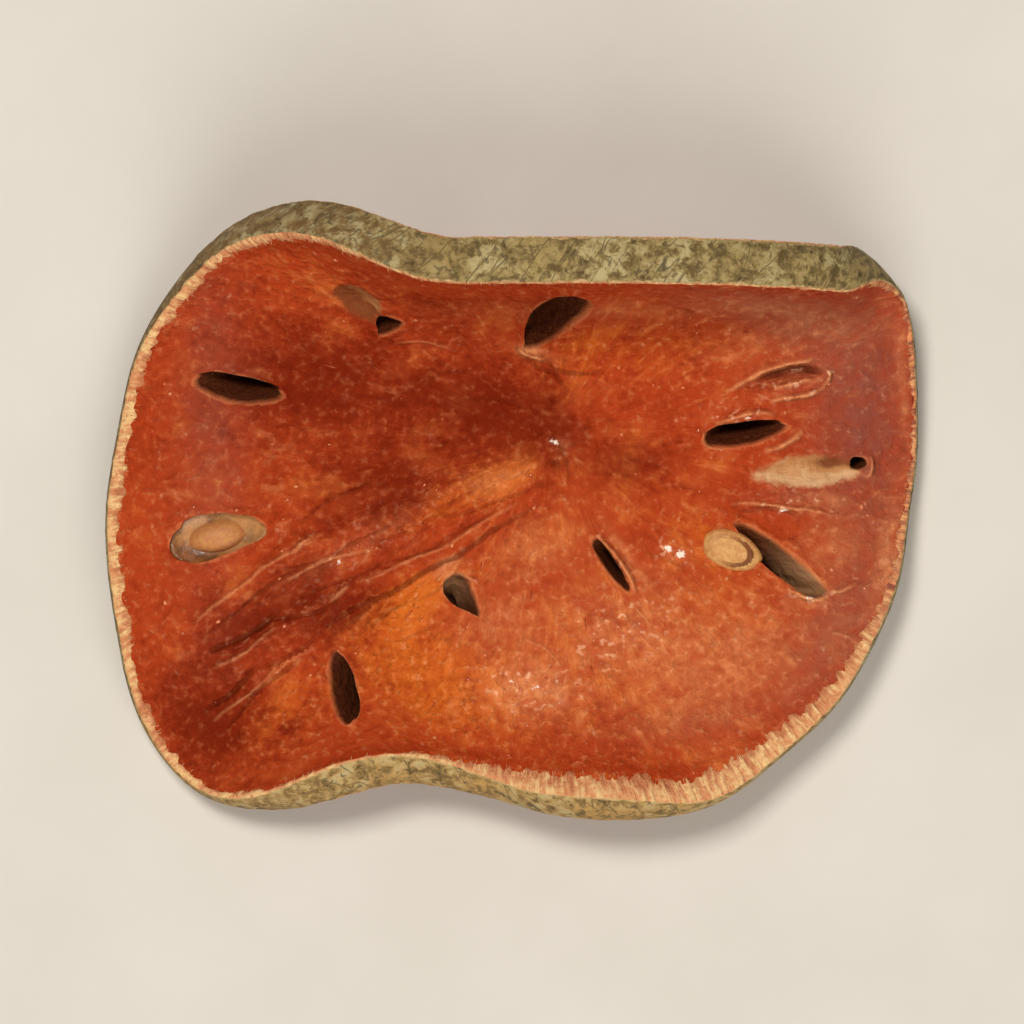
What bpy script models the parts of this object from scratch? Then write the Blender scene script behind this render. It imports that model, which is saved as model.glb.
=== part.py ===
"""A dried slice of bael fruit, lying on its back with the cut face up.

The slice is laid out flat first, in millimetres: u to the right, v away from the viewer, w up
through its thickness, with the fruit's core at (0, 0). Drying has then bent it. The far side
stands up like a lip, the near edge lifts, and the two ends droop, so it rests on three low
points of its rim. The finished object is in metres, +Z up, centred over the surface it lies on.
"""

import bmesh
import bpy
import numpy as np
from mathutils.geometry import delaunay_2d_cdt

MM = 0.001

# Flat outline: distance from the core to the rim, at even steps of angle from +u.
RIM_RADII = (31.9, 33.1, 31.6, 29.0, 27.4, 29.0, 32.5, 36.0, 38.6, 41.6, 44.2, 32.2, 32.9, 34.8, 34.0, 32.8)
RIM_POINTS = 116

# Small waves of the rim: height, number round the slice, and where they start.
RIM_WAVES = ((0.15, 9, 0.7), (0.1, 17, 2.1))

# Thicknesses.
RIND_THICKNESS = 4.1
PULP_THICKNESS = 3.0
RIND_BULGE = 0.45
WALL_BULGE = 0.18
GUM_THICKNESS = 1.0

# Width of the cut rind: thin all round, and thickest at one place of the near edge.
RIND_WIDTH = 1.5
RIND_WIDTH_GAIN = 1.0
RIND_THICKEST_AT = 285.0
RIND_THICK_REACH = 38.0
RIND_STEP = 0.5

# How drying has bent the slice: angles in degrees, distances in millimetres.
LIP_ANGLE = 86.0
LIP_LEFT_ANGLE = 38.0
LIP_LEFT_SPAN = (-33.0, -8.0)
LIP_RIGHT_SPAN = (25.0, 32.8)
LIP_RIGHT_LOSS = 0.85
LIP_SPAN = (3.5, 21.5)
NEAR_BENDS = ((52.0, -16.0, 9.5), (32.0, 4.0, 10.5))
NEAR_SPAN = (18.0, 34.0)
END_DROOP = 1.5
END_REACH = 34.0

# The three low points of the rim: u, v, and how far each one droops.
FEET = ((33.0, -2.0, 2.1), (-33.0, -29.0, 2.0), (-37.0, 7.0, 1.65))
FOOT_SPREAD = 9.0
FOOT_GROUND = 0.35

# Folds that run from the core towards the near left corner.
FOLD_HEADING = 206.0
FOLD_PITCH = 5.2
FOLD_HEIGHT = 0.5
FOLD_START = (3.0, 9.0)
FOLD_END = (32.0, 40.0)
FOLD_SPREAD = 6.5

# Seed cells: name, u, v, length, width, turn in degrees, taper towards the core, and what fills it.
CELLS = (
    ("back_left", -16.9, 13.9, 6.0, 3.6, 125.0, 0.2, "gum"),
    ("back_left_gap", -14.3, 10.7, 2.4, 2.0, 60.0, 0.5, "open"),
    ("back", 0.0, 12.3, 9.4, 4.1, 60.0, 0.5, "open"),
    ("right_high", 19.5, 5.8, 9.2, 3.0, 16.0, 0.3, "gum"),
    ("right", 17.0, 0.6, 7.6, 2.2, 10.0, -0.3, "open"),
    ("right_gum", 21.6, -2.8, 8.6, 3.1, 3.0, 0.2, "gum"),
    ("right_gap", 27.3, -2.1, 1.6, 1.3, 0.0, 0.0, "open"),
    ("right_low", 20.0, -10.7, 10.6, 2.3, -40.0, 0.1, "open"),
    ("low_right", 5.0, -11.0, 5.8, 1.2, -56.0, 0.0, "open"),
    ("low", -7.8, -13.8, 4.6, 2.2, -52.0, -0.6, "open"),
    ("low_left", -18.4, -22.4, 7.6, 2.4, -79.0, 0.0, "open"),
    ("left_low", -29.5, -8.5, 8.6, 3.8, 192.0, 0.3, "gum"),
    ("left", -27.5, 4.5, 8.0, 2.6, 170.0, 0.2, "open"),
)
CELL_POINTS = 14
LIP_RAISE = 0.28
LIP_WIDTH = 0.8
GUM_EDGE = 0.72

# Seeds, each raised from the gum or the pulp that holds it: u, v, length, width, turn, rise.
SEEDS = (
    (20.4, 6.1, 5.6, 1.7, 16.0, 0.8),
    (15.8, -9.8, 5.6, 3.5, -22.0, 0.7),
    (-29.8, -8.6, 5.4, 3.0, 192.0, 1.2),
)

# Rings of points that shape each seed: scale and number of points.
SEED_RINGS = ((1.0, 12), (0.62, 7), (0.0, 1))

# Spacing of the inner points: along the folds' heading, and across it.
GRID_PITCH = (2.25, 1.3)
BEND_STEPS = 40

# What each face is made of: colour and roughness.
FINISHES = {
    "pulp": ((0.42, 0.09, 0.02, 1.0), 0.45),
    "cut_rind": ((0.58, 0.30, 0.11, 1.0), 0.85),
    "outer_rind": ((0.22, 0.17, 0.08, 1.0), 0.8),
    "gum": ((0.40, 0.18, 0.06, 1.0), 0.25),
    "seed": ((0.61, 0.31, 0.10, 1.0), 0.6),
}
SLIVER = 1e-5
INSIDE_ONLY = 1


def smooth(low, high, x):
    """0 below low, 1 above high, and an even curve between them."""
    t = np.clip((x - low) / (high - low), 0.0, 1.0)
    return t * t * (3.0 - 2.0 * t)


def rim_radius(angle):
    """Distance from the core to the rim, on a smooth closed curve through RIM_RADII."""
    radii = np.array(RIM_RADII)
    count = len(radii)
    place = np.mod(angle, 2 * np.pi) / (2 * np.pi) * count
    i = np.floor(place).astype(int)
    t = place - i
    before, here, after, beyond = (radii[(i + k) % count] for k in (-1, 0, 1, 2))
    curve = 2 * here + (after - before) * t
    curve += (2 * before - 5 * here + 4 * after - beyond) * t**2
    curve += (3 * here - before - 3 * after + beyond) * t**3
    return curve / 2 + sum(height * np.sin(waves * angle + start) for height, waves, start in RIM_WAVES)


def rind_width(angle):
    """Width of the cut rind at an angle from +u."""
    away = np.mod(np.degrees(angle) - RIND_THICKEST_AT + 180.0, 360.0) - 180.0
    return RIND_WIDTH + RIND_WIDTH_GAIN * np.exp(-((away / RIND_THICK_REACH) ** 2))


def slope(u, v):
    """How steeply the bent slice climbs along v, in radians."""
    lip = LIP_LEFT_ANGLE + (LIP_ANGLE - LIP_LEFT_ANGLE) * smooth(*LIP_LEFT_SPAN, u)
    lip = lip * (1.0 - LIP_RIGHT_LOSS * smooth(*LIP_RIGHT_SPAN, u))
    near = sum(angle * np.exp(-(((u - at) / reach) ** 2)) for angle, at, reach in NEAR_BENDS)
    return np.radians(lip * smooth(*LIP_SPAN, v) - near * smooth(*NEAR_SPAN, -v))


def mid_surface(u, v):
    """Points of the bent slice's middle layer."""
    steps = (np.arange(BEND_STEPS) + 0.5) / BEND_STEPS
    climb = slope(u[:, None], v[:, None] * steps)
    y = v * np.cos(climb).mean(axis=1)
    z = v * np.sin(climb).mean(axis=1)
    z = z - END_DROOP * (u / END_REACH) ** 2
    for foot_u, foot_v, drop in FEET:
        away = (u - foot_u) ** 2 + (v - foot_v) ** 2
        z = z - drop * np.exp(-away / FOOT_SPREAD**2)
    return np.stack([u, y, z], axis=1)


def bend(flat):
    """Flat points (u, v, w) carried onto the bent slice, w along its local normal."""
    u, v, w = flat.T
    step = 0.05
    along_u = mid_surface(u + step, v) - mid_surface(u - step, v)
    along_v = mid_surface(u, v + step) - mid_surface(u, v - step)
    normal = np.cross(along_u, along_v)
    normal /= np.linalg.norm(normal, axis=1, keepdims=True)
    return mid_surface(u, v) + w[:, None] * normal


def in_oval(u, v, centre_u, centre_v, length, width, turn, taper=0.0):
    """0 at an oval's centre, 1 on its outline and more outside."""
    c, s = np.cos(np.radians(turn)), np.sin(np.radians(turn))
    along = ((u - centre_u) * c + (v - centre_v) * s) / (length / 2)
    across = ((v - centre_v) * c - (u - centre_u) * s) / (width / 2)
    across = across / (1.0 + taper * np.clip(along, -1.0, 1.0))
    return np.hypot(along, across)


def off_oval(u, v, centre_u, centre_v, *shape):
    """Distance from a point to an oval's outline, towards its centre; negative inside."""
    reach = np.maximum(in_oval(u, v, centre_u, centre_v, *shape), 0.01)
    return np.hypot(u - centre_u, v - centre_v) * (1.0 - 1.0 / reach)


def oval_points(centre_u, centre_v, length, width, turn, taper=0.0, margin=0.0, scale=1.0, count=CELL_POINTS):
    """Points round an oval that is scaled and then grown by a margin."""
    t = np.arange(count) * 2 * np.pi / count
    along = np.cos(t) * (length / 2 * scale + margin)
    across = np.sin(t) * (width / 2 * scale + margin) * (1.0 + taper * np.cos(t))
    c, s = np.cos(np.radians(turn)), np.sin(np.radians(turn))
    return np.stack([centre_u + along * c - across * s, centre_v + along * s + across * c], axis=1)


def folds(u, v):
    """Height of the folds that lead from the core to the near left corner."""
    c, s = np.cos(np.radians(FOLD_HEADING)), np.sin(np.radians(FOLD_HEADING))
    out = u * c + v * s
    aside = v * c - u * s
    window = smooth(*FOLD_START, out) * (1.0 - smooth(*FOLD_END, out))
    window = window * np.exp(-((aside / FOLD_SPREAD) ** 2))
    return FOLD_HEIGHT * window * np.cos(2 * np.pi * aside / FOLD_PITCH)


def surface_height(u, v, side):
    """Distance of a cut face from the middle layer; side is 1 for the upper face, -1 for the under."""
    angle = np.arctan2(v, u)
    past_rind = rim_radius(angle) - np.hypot(u, v) - rind_width(angle)
    on_rind = 1.0 - smooth(0.0, RIND_STEP, past_rind)
    height = PULP_THICKNESS / 2 + (RIND_THICKNESS - PULP_THICKNESS) / 2 * on_rind
    height += side * folds(u, v) * (1.0 - on_rind)
    for _, *oval, filling in CELLS:
        reach = in_oval(u, v, *oval)
        away = np.maximum(off_oval(u, v, *oval), 0.0)
        height += LIP_RAISE * np.exp(-((away / LIP_WIDTH) ** 2))
        if filling == "gum":
            sunk = 1.0 - smooth(GUM_EDGE, 1.0, reach)
            height += (GUM_THICKNESS / 2 - height) * sunk
    for *oval, rise in SEEDS:
        reach = in_oval(u, v, *oval)
        height += rise * np.sqrt(np.clip(1.0 - reach**2, 0.0, 1.0))
    return height


def outline_loops():
    """The rim, the cut rind's inner edge and the seed cells' outlines."""
    angles = np.arange(RIM_POINTS) * 2 * np.pi / RIM_POINTS
    heading = np.stack([np.cos(angles), np.sin(angles)], axis=1)
    width = rind_width(angles)
    loops = [heading * (rim_radius(angles) - inset)[:, None] for inset in (0.0, width, width + RIND_STEP)]
    return loops + [oval_points(*oval) for _, *oval, _ in CELLS]


def inner_points():
    """Points that shape the cells' lips, the gum and the seeds, none of them in an open cell."""
    rings = []
    for _, *oval, filling in CELLS:
        rings.append(oval_points(*oval, margin=LIP_WIDTH))
        if filling == "gum":
            rings.append(oval_points(*oval, scale=GUM_EDGE))
    for *oval, _ in SEEDS:
        rings.extend(oval_points(*oval, scale=scale, count=count) for scale, count in SEED_RINGS)
    points = np.concatenate(rings)
    for _, *oval, filling in CELLS:
        if filling == "open":
            points = points[in_oval(*points.T, *oval) > 1.0]
    return points


def grid_points():
    """Even rows of points between the cells, laid along the folds."""
    along, across = GRID_PITCH
    reach = max(RIM_RADII) + along
    rows = np.arange(-reach, reach, across)
    cols = np.arange(-reach, reach, along)
    shift = (np.arange(len(rows)) % 2) * along / 2
    c, s = np.cos(np.radians(FOLD_HEADING)), np.sin(np.radians(FOLD_HEADING))
    grid = np.stack([np.add.outer(shift, cols).ravel(), np.repeat(rows, len(cols))], axis=1)
    grid = grid @ np.array([[c, s], [-s, c]])
    angle = np.arctan2(grid[:, 1], grid[:, 0])
    kept = rim_radius(angle) - np.hypot(*grid.T) > rind_width(angle) + RIND_STEP + across
    for _, *oval, _ in CELLS:
        kept &= off_oval(*grid.T, *oval) > LIP_WIDTH + across / 2
    for *oval, _ in SEEDS:
        kept &= off_oval(*grid.T, *oval) > across / 2
    return grid[kept]


def flat_layout():
    """The flat slice's points and triangles, cell openings left out."""
    points, edges = [], []
    for loop in outline_loops():
        first = len(points)
        points.extend(loop)
        edges.extend((first + k, first + (k + 1) % len(loop)) for k in range(len(loop)))
    points.extend(inner_points())
    points.extend(grid_points())
    points, _, faces, *_ = delaunay_2d_cdt([tuple(p) for p in points], edges, [], INSIDE_ONLY, SLIVER)
    points = np.array([tuple(p) for p in points])
    faces = np.array([tuple(f) for f in faces])
    middle = points[faces].mean(axis=1)
    solid = np.ones(len(faces), dtype=bool)
    for _, *oval, filling in CELLS:
        if filling == "open":
            solid &= in_oval(*middle.T, *oval) > np.cos(np.pi / CELL_POINTS)
    return points, faces[solid]


def cut_face_finish(u, v):
    """What a place on a cut face is made of."""
    angle = np.arctan2(v, u)
    if rim_radius(angle) - np.hypot(u, v) < rind_width(angle):
        return "cut_rind"
    if any(in_oval(u, v, *oval) < 1.0 for *oval, _ in SEEDS):
        return "seed"
    if any(in_oval(u, v, *oval) < 1.0 for _, *oval, filling in CELLS if filling == "gum"):
        return "gum"
    return "pulp"


def boundary_loops(faces):
    """Closed chains of the edges that only one triangle has, with the slice on their left."""
    edges = {(int(f[k]), int(f[(k + 1) % 3])) for f in faces for k in range(3)}
    following = {a: b for a, b in edges if (b, a) not in edges}
    loops = []
    while following:
        start, here = following.popitem()
        loop = [start]
        while here != start:
            loop.append(here)
            here = following.pop(here)
        loops.append(loop)
    return loops


def slice_solid():
    """The slice before it bends: its flat points, its faces, and what each face is made of."""
    points, faces = flat_layout()
    count = len(points)
    u, v = points.T
    upper = np.column_stack([points, surface_height(u, v, 1)])
    under = np.column_stack([points, -surface_height(u, v, -1)])
    flat = [upper, under]
    solid = [tuple(f) for f in faces] + [tuple(f[::-1] + count) for f in faces]
    finish = [cut_face_finish(*points[f].mean(axis=0)) for f in faces] * 2

    made = 2 * count
    for loop in boundary_loops(faces):
        edge = points[loop]
        ahead = np.roll(edge, -1, axis=0) - np.roll(edge, 1, axis=0)
        outward = np.stack([ahead[:, 1], -ahead[:, 0]], axis=1)
        outward /= np.linalg.norm(outward, axis=1, keepdims=True)
        is_rim = len(loop) > 2 * CELL_POINTS
        levels = (0.75, 0.5, 0.25) if is_rim else (0.5,)
        bulge = RIND_BULGE if is_rim else WALL_BULGE
        columns = [list(loop)]
        for level in levels:
            w = upper[loop, 2] * level + under[loop, 2] * (1.0 - level)
            swell = bulge * (1.0 - (2.0 * level - 1.0) ** 2)
            flat.append(np.column_stack([edge + outward * swell, w]))
            columns.append(list(range(made, made + len(loop))))
            made += len(loop)
        columns.append([k + count for k in loop])
        for above, below in zip(columns, columns[1:]):
            for k in range(len(loop)):
                after = (k + 1) % len(loop)
                solid.append((above[after], above[k], below[k], below[after]))
                finish.append("outer_rind" if is_rim else "pulp")
    return np.concatenate(flat), solid, finish


def material(name, colour, roughness):
    made = bpy.data.materials.new(name)
    made.use_nodes = True
    shader = made.node_tree.nodes["Principled BSDF"]
    shader.inputs["Base Color"].default_value = colour
    shader.inputs["Roughness"].default_value = roughness
    made.diffuse_color = colour
    return made


def ground_feet(mesh):
    """Cuts the three low points flat, FOOT_GROUND up from the lowest one, at z = 0."""
    floor = min(vert.co.z for vert in mesh.verts) + FOOT_GROUND
    for vert in mesh.verts:
        vert.co.z -= floor
    everything = mesh.verts[:] + mesh.edges[:] + mesh.faces[:]
    cut = bmesh.ops.bisect_plane(
        mesh, geom=everything, dist=SLIVER, plane_co=(0, 0, 0), plane_no=(0, 0, -1), clear_outer=True
    )
    rims = [piece for piece in cut["geom_cut"] if isinstance(piece, bmesh.types.BMEdge)]
    for spot in bmesh.ops.contextual_create(mesh, geom=rims)["faces"]:
        spot.material_index = list(FINISHES).index("outer_rind")


def build_slice():
    flat, faces, finish = slice_solid()
    mesh = bmesh.new()
    verts = [mesh.verts.new(point) for point in bend(flat)]
    for corners, kind in zip(faces, finish):
        face = mesh.faces.new([verts[k] for k in corners])
        face.material_index = list(FINISHES).index(kind)
    loose = [vert for vert in mesh.verts if not vert.link_faces]
    bmesh.ops.delete(mesh, geom=loose, context="VERTS")
    ground_feet(mesh)

    low = np.array([vert.co for vert in mesh.verts]).min(axis=0)
    high = np.array([vert.co for vert in mesh.verts]).max(axis=0)
    centre = (low + high) / 2
    for vert in mesh.verts:
        vert.co.x = (vert.co.x - centre[0]) * MM
        vert.co.y = (vert.co.y - centre[1]) * MM
        vert.co.z = max(vert.co.z, 0.0) * MM

    data = bpy.data.meshes.new("bael_slice")
    mesh.to_mesh(data)
    mesh.free()
    for name, (colour, roughness) in FINISHES.items():
        data.materials.append(material(name, colour, roughness))
    data.shade_smooth()
    data.set_sharp_from_angle(angle=np.radians(40.0))
    made = bpy.data.objects.new("bael_slice", data)
    bpy.context.scene.collection.objects.link(made)
    return made


for old in list(bpy.data.objects):
    bpy.data.objects.remove(old, do_unlink=True)
build_slice()
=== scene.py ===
"""Looks for a dried slice of bael fruit that lies on a pale table, cut face up.

The slice is laid out flat first, in millimetres: u to the right, v away from the viewer, w up
through its thickness, with the fruit's core at (0, 0). Its relief is worked in that flat state,
and then drying bends it. Textures read the flat place too, so they follow the bent surface.
"""

import bpy
import numpy as np
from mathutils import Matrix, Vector
from mathutils.geometry import delaunay_2d_cdt


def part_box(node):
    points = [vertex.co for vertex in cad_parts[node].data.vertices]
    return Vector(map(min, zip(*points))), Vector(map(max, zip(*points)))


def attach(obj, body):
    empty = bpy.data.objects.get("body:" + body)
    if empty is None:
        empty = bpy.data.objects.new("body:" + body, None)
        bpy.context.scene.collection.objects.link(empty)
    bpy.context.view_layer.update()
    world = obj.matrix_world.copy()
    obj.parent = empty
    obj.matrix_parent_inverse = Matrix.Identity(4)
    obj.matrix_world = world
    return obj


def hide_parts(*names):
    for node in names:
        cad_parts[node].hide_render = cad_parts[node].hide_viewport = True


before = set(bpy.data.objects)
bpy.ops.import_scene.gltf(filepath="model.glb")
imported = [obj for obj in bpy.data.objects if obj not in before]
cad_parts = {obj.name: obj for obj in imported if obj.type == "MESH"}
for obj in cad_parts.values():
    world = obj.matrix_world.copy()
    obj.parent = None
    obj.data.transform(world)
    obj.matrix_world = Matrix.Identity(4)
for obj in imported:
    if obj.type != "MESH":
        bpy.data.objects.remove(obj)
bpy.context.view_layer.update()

MM = 0.001
SEED = 7

# Flat outline: distance from the core to the rim, at even steps of angle from +u.
RIM_RADII = (31.9, 33.1, 31.6, 29.0, 27.4, 29.0, 32.5, 36.0, 38.6, 41.6, 44.2, 32.2, 32.9, 34.8, 34.0, 32.8)
RIM_WAVES = ((0.15, 9, 0.7), (0.1, 17, 2.1))

# Thicknesses.
RIND_THICKNESS = 4.1
PULP_THICKNESS = 3.0
RIND_BULGE = 0.45
RIND_ROOT = (0.35, 0.9)
CUT_DISH = 0.12
CUT_ROUNDING = 0.14
CUT_STEPS = 8
WALL_STEPS = 17
GUM_THICKNESS = 1.0
GUM_CLIMB = 0.85
GUM_MARGIN = 0.3
GUM_RIPPLE = 0.08

# Width of the cut rind at the same angles: thin where the pulp has shrunk over it.
CUT_WIDTHS = (0.45, 0.45, 0.4, 0.5, 0.8, 0.9, 0.9, 1.1, 1.2, 1.1, 0.8, 0.55, 2.3, 2.5, 1.6, 0.75)
PULP_ROOT = 0.5
# Close to the rind the pulp climbs to its height, and its relief fades.
RIM_CLIMB = 0.85
RIM_CLIMB_SPAN = (-0.2, 1.6)
RELIEF_SPAN = (0.0, 1.5)

# How drying has bent the slice: angles in degrees, distances in millimetres. At the far right
# corner the rind would cross itself, so there its thickness leans less to the side.
LIP_ANGLE = 86.0
LIP_LEFT_ANGLE = 38.0
LIP_LEFT_SPAN = (-33.0, -8.0)
LIP_RIGHT_SPAN = (25.0, 32.8)
LIP_RIGHT_LOSS = 0.85
LIP_SPAN = (3.5, 21.5)
CORNER_EASE = 0.55
CORNER_SPAN_U = (20.0, 25.0)
CORNER_SPAN_V = (12.0, 16.0)
NEAR_BENDS = ((52.0, -16.0, 9.5), (32.0, 4.0, 10.5))
NEAR_SPAN = (18.0, 34.0)
END_DROOP = 1.5
END_REACH = 34.0
FEET = ((33.0, -2.0, 2.1), (-33.0, -29.0, 2.0), (-37.0, 7.0, 1.65))
FOOT_SPREAD = 9.0
FOOT_GROUND = 0.35
BEND_STEPS = 32

# Broad folds that run from the core towards the near left corner.
FOLD_HEADING = 206.0
FOLD_PITCH = 5.2
FOLD_HEIGHT = 0.5
FOLD_START = (3.0, 9.0)
FOLD_END = (32.0, 40.0)
FOLD_SPREAD = 6.5
FOLD_WAVES = ((0.5, 0.31, 0.6), (0.22, 0.83, 0.0))

# Seed cells: u, v, length, width, turn in degrees, taper towards the core, and what fills it.
CELLS = {
    "back_left": (-16.9, 13.9, 6, 3.6, 125, 0.2, "skin"),
    "back_left_gap": (-14.5, 11.1, 2.6, 2.1, 60, 0.5, "open"),
    "back": (0, 12.3, 9.4, 4.1, 60, 0.5, "open"),
    "right_high": (19.5, 5.8, 9.2, 3, 16, 0.3, "skin"),
    "right": (17, 0.6, 7.6, 2.2, 10, -0.3, "open"),
    "right_gum": (22.2, -2.8, 9.4, 3.1, 3, 0.1, "skin"),
    "right_gap": (26.7, -2.1, 1.6, 1.3, 0, 0, "open"),
    "right_low": (20, -10.7, 10.6, 2.3, -40, 0.1, "open"),
    "low_right": (5, -11, 5.8, 1.2, -56, 0, "open"),
    "low": (-7.8, -13.8, 4.6, 2.2, -52, -0.6, "open"),
    "low_left": (-18.4, -22.4, 7.6, 2.4, -79, 0, "open"),
    "left_low": (-29.5, -8.5, 8.6, 3.8, 192, 0.3, "gum"),
    "left": (-27.5, 4.5, 8, 2.6, 170, 0.2, "open"),
}
SKIN_DENTS = {"right_high": 0.8, "right_gum": 0.35, "back_left": 0.5}
DENT_SPAN = (0.3, 1.05)
# How pale the dried gum is in two skinned cells: at the far side of each, and at the near side.
FILM_TONES = {"right_gum": (0.6, 0.95), "back_left": (-0.2, 0.25)}
LIP_RAISE = 0.28
LIP_WIDTH = 0.8
CELL_FULLNESS = 0.9
CELL_WOBBLES = ((0.05, 3), (0.03, 5), (0.015, 9), (0.01, 14))
# Under the slice the open cells are smaller and lie to one side: share of the size, and shift in
# widths and in lengths.
CELL_CLOSING = (0.35, 0.62, 0.0)
CELL_CLOSINGS = {"right_low": (0.36, -0.6, 0.05), "back": (0.3, 0.5, 0.0), "low": (0.4, -0.7, 0.0)}
CELL_PULL_REACH = 2.3
CELL_PULL_CURVE = 0.8
LINING_LEVELS = (0.88, 0.7, 0.5, 0.3, 0.12)

# Seeds: u, v, length, width, turn, half thickness, and how flat the top is cut.
SEEDS = {
    "right_low": (15.8, -9.8, 5.6, 3.5, -22, 2.15, 5),
    "left_low": (-29.8, -8.6, 5.4, 3, 192, 1.7, 2),
}

# Fine lines on the pulp: from (u, v) to (u, v), bow, and depth, which is below 0 for a raised ridge.
LINES = (
    (-1, -5.3, -20.5, -16.5, 0.5, 1),
    (-3, -5.3, -17, -12.4, 0.6, -0.7),
    (-5, -5.9, -15, -11, 0.6, 0.5),
    (-0.5, -3.4, -10, -6.8, 0.5, 0.4),
    (-11, -8, -23, -14, 0.7, 0.4),
    (-15.5, -3.6, -22.5, -7.6, -0.4, 0.5),
    (-14, -7.2, -24.5, -11.8, 0.6, 0.6),
    (-16, -9.6, -24, -12.6, -0.3, -0.7),
    (-20, -8.2, -31.5, -16.2, -0.5, -0.8),
    (-21.5, -10.8, -31, -17.8, -0.3, 0.6),
    (-18.5, -14.3, -25.5, -16, 0.3, 0.7),
    (-24, -15.2, -30.5, -18.8, 0.2, 1.2),
    (-24.5, -16.6, -30, -20.2, 0.2, -0.7),
    (-20.5, -17, -27, -20.8, 0.4, 0.6),
    (-26, -20.2, -31, -24, 0.2, 1.1),
    (-24, -19.6, -29.8, -24.8, 0.3, -0.6),
    (-17.9, -12.8, -19.6, -14.4, 0.1, -1),
    (-20.9, -8.4, -23.2, -9.9, 0.1, -1),
    (-12.6, -14.4, -16, -16.6, -0.5, 0.6),
    (-22, -19.2, -28.6, -25.4, -0.4, 0.7),
    (-21, -18.2, -25.5, -21.8, -0.2, -0.5),
    (-15, -12.8, -19.5, -17.4, 0.4, 0.5),
    (-8.2, -11, -12.5, -14.5, 0.6, 0.4),
    (-9, -15.4, -15.5, -17.6, 0.8, 0.4),
    (-2.5, 7.4, 4.5, 6.2, -0.8, 0.7),
    (-3.2, 8.7, -0.6, 7.4, -0.4, -1.4),
    (-14, 9, -8.5, 8.4, 0.4, -0.5),
    (-8, 3.6, -1.5, 2.6, 0.4, 0.4),
    (1.2, 4.4, -0.4, 7.6, 0.2, 0.6),
    (0.6, -0.2, 1.4, -3.6, 0.2, 0.6),
    (15.2, 4.4, 22.9, 7.5, 0.15, -1.5),
    (18.3, 5.5, 23.7, 6.4, 0.3, 1.7),
    (19.4, 4.7, 22.8, 5.5, 0.1, -1.2),
    (19, 3.4, 24, 5, -0.3, -1.4),
    (23.9, 4.9, 24.2, 6.6, -0.3, -1.2),
    (18.5, -1.1, 21.9, 0.9, -0.4, -1.4),
    (14.3, 1.5, 19.6, 2.4, 0.2, -1),
    (13.2, 0.9, 14.6, -1, -0.5, -0.8),
    (27.9, -1.3, 27.5, -3.6, 0.3, -1),
    (20.6, -13.4, 23.9, -14.1, -0.2, -1.4),
    (15.6, -5.8, 24.5, -6.9, 0.5, -1),
    (16, -6.3, 22, -6.7, 0.3, 0.6),
    (24.6, -13.6, 26.8, -12.7, -0.3, -1),
    (3.9, -8.2, 7.4, -13.5, 0.2, -1.3),
    (6.6, -14.2, 8.6, -17.2, 0.3, -0.6),
    (9, -4.4, 14, -4.9, 0.4, 0.3),
    (7.5, -9.5, 13, -11, -0.5, 0.3),
    (-8.6, -11.9, -6.4, -12.8, 0.2, -0.8),
    (-2.5, -17.5, 1, -20.5, 0.3, -0.5),
    (24.5, -17, 27, -18.5, 0.3, -0.5),
    (8, 14.2, 13, 12.6, 0.5, 0.3),
    (-12, 4.6, -6.5, 6.4, 0.4, 0.3),
)
LINE_WIDTH = 0.7
LINE_WIDENING = 0.45
LINE_REACH = 0.6
LINE_WAVER = (0.12, 0.9)
LINE_SHARPNESS = 0.35
LINE_DEPTH = 0.18
LINE_SHEETS = 3

# Small pits round the core: u, v, radius and depth.
PITS = (
    (0, 3.4, 0.45, 0.7),
    (0.2, -2.1, 0.5, 0.8),
    (-1.3, 0.8, 0.35, 0.4),
    (1.2, 1, 0.3, 0.35),
    (0.9, -0.4, 0.3, 0.3),
)

# Spacing of the fine mesh, its room to the rim and to the cells in shares of that, and the rings
# and spokes of a seed and of a web.
PULP_PITCH = 0.34
RIM_PITCH = 0.28
PITCH_JITTER = 0.12
RIM_ROOM = 0.6
CELL_ROOM = 0.55
CELL_REACH = 7.0
SEED_MESH = (20, 40)
WEB_MESH = (9, 56)

# The ragged inner edge of the cut rind.
RAGGED_WAVES = (23, 41, 67, 97, 151, 211)
RAGGED_HEIGHT = 0.07

# A distance that no mark reaches, in line widths or in shares of a cell.
FAR_AWAY = 9.0


def smooth(low, high, x):
    """0 below low, 1 above high, and an even curve between them."""
    t = np.clip((x - low) / (high - low), 0.0, 1.0)
    return t * t * (3.0 - 2.0 * t)


def closed_curve(values, angle):
    """A smooth closed curve through values at even steps of angle."""
    values = np.array(values)
    count = len(values)
    place = np.mod(angle, 2 * np.pi) / (2 * np.pi) * count
    i = np.floor(place).astype(int)
    t = place - i
    before, here, after, beyond = (values[(i + k) % count] for k in (-1, 0, 1, 2))
    curve = 2 * here + (after - before) * t
    curve += (2 * before - 5 * here + 4 * after - beyond) * t**2
    curve += (3 * here - before - 3 * after + beyond) * t**3
    return curve / 2


def rim_radius(angle):
    """Distance from the core to the rim."""
    waves = sum(height * np.sin(waves * angle + start) for height, waves, start in RIM_WAVES)
    return closed_curve(RIM_RADII, angle) + waves


def rind_width(angle):
    """Width of the cut rind at an angle from +u."""
    return closed_curve(CUT_WIDTHS, angle)


def past_rind(u, v):
    """How far inside the cut rind a point lies."""
    angle = np.arctan2(v, u)
    return rim_radius(angle) - np.hypot(u, v) - rind_width(angle)


def heading(turn):
    """Cosine and sine of a turn in degrees."""
    return np.cos(np.radians(turn)), np.sin(np.radians(turn))


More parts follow.
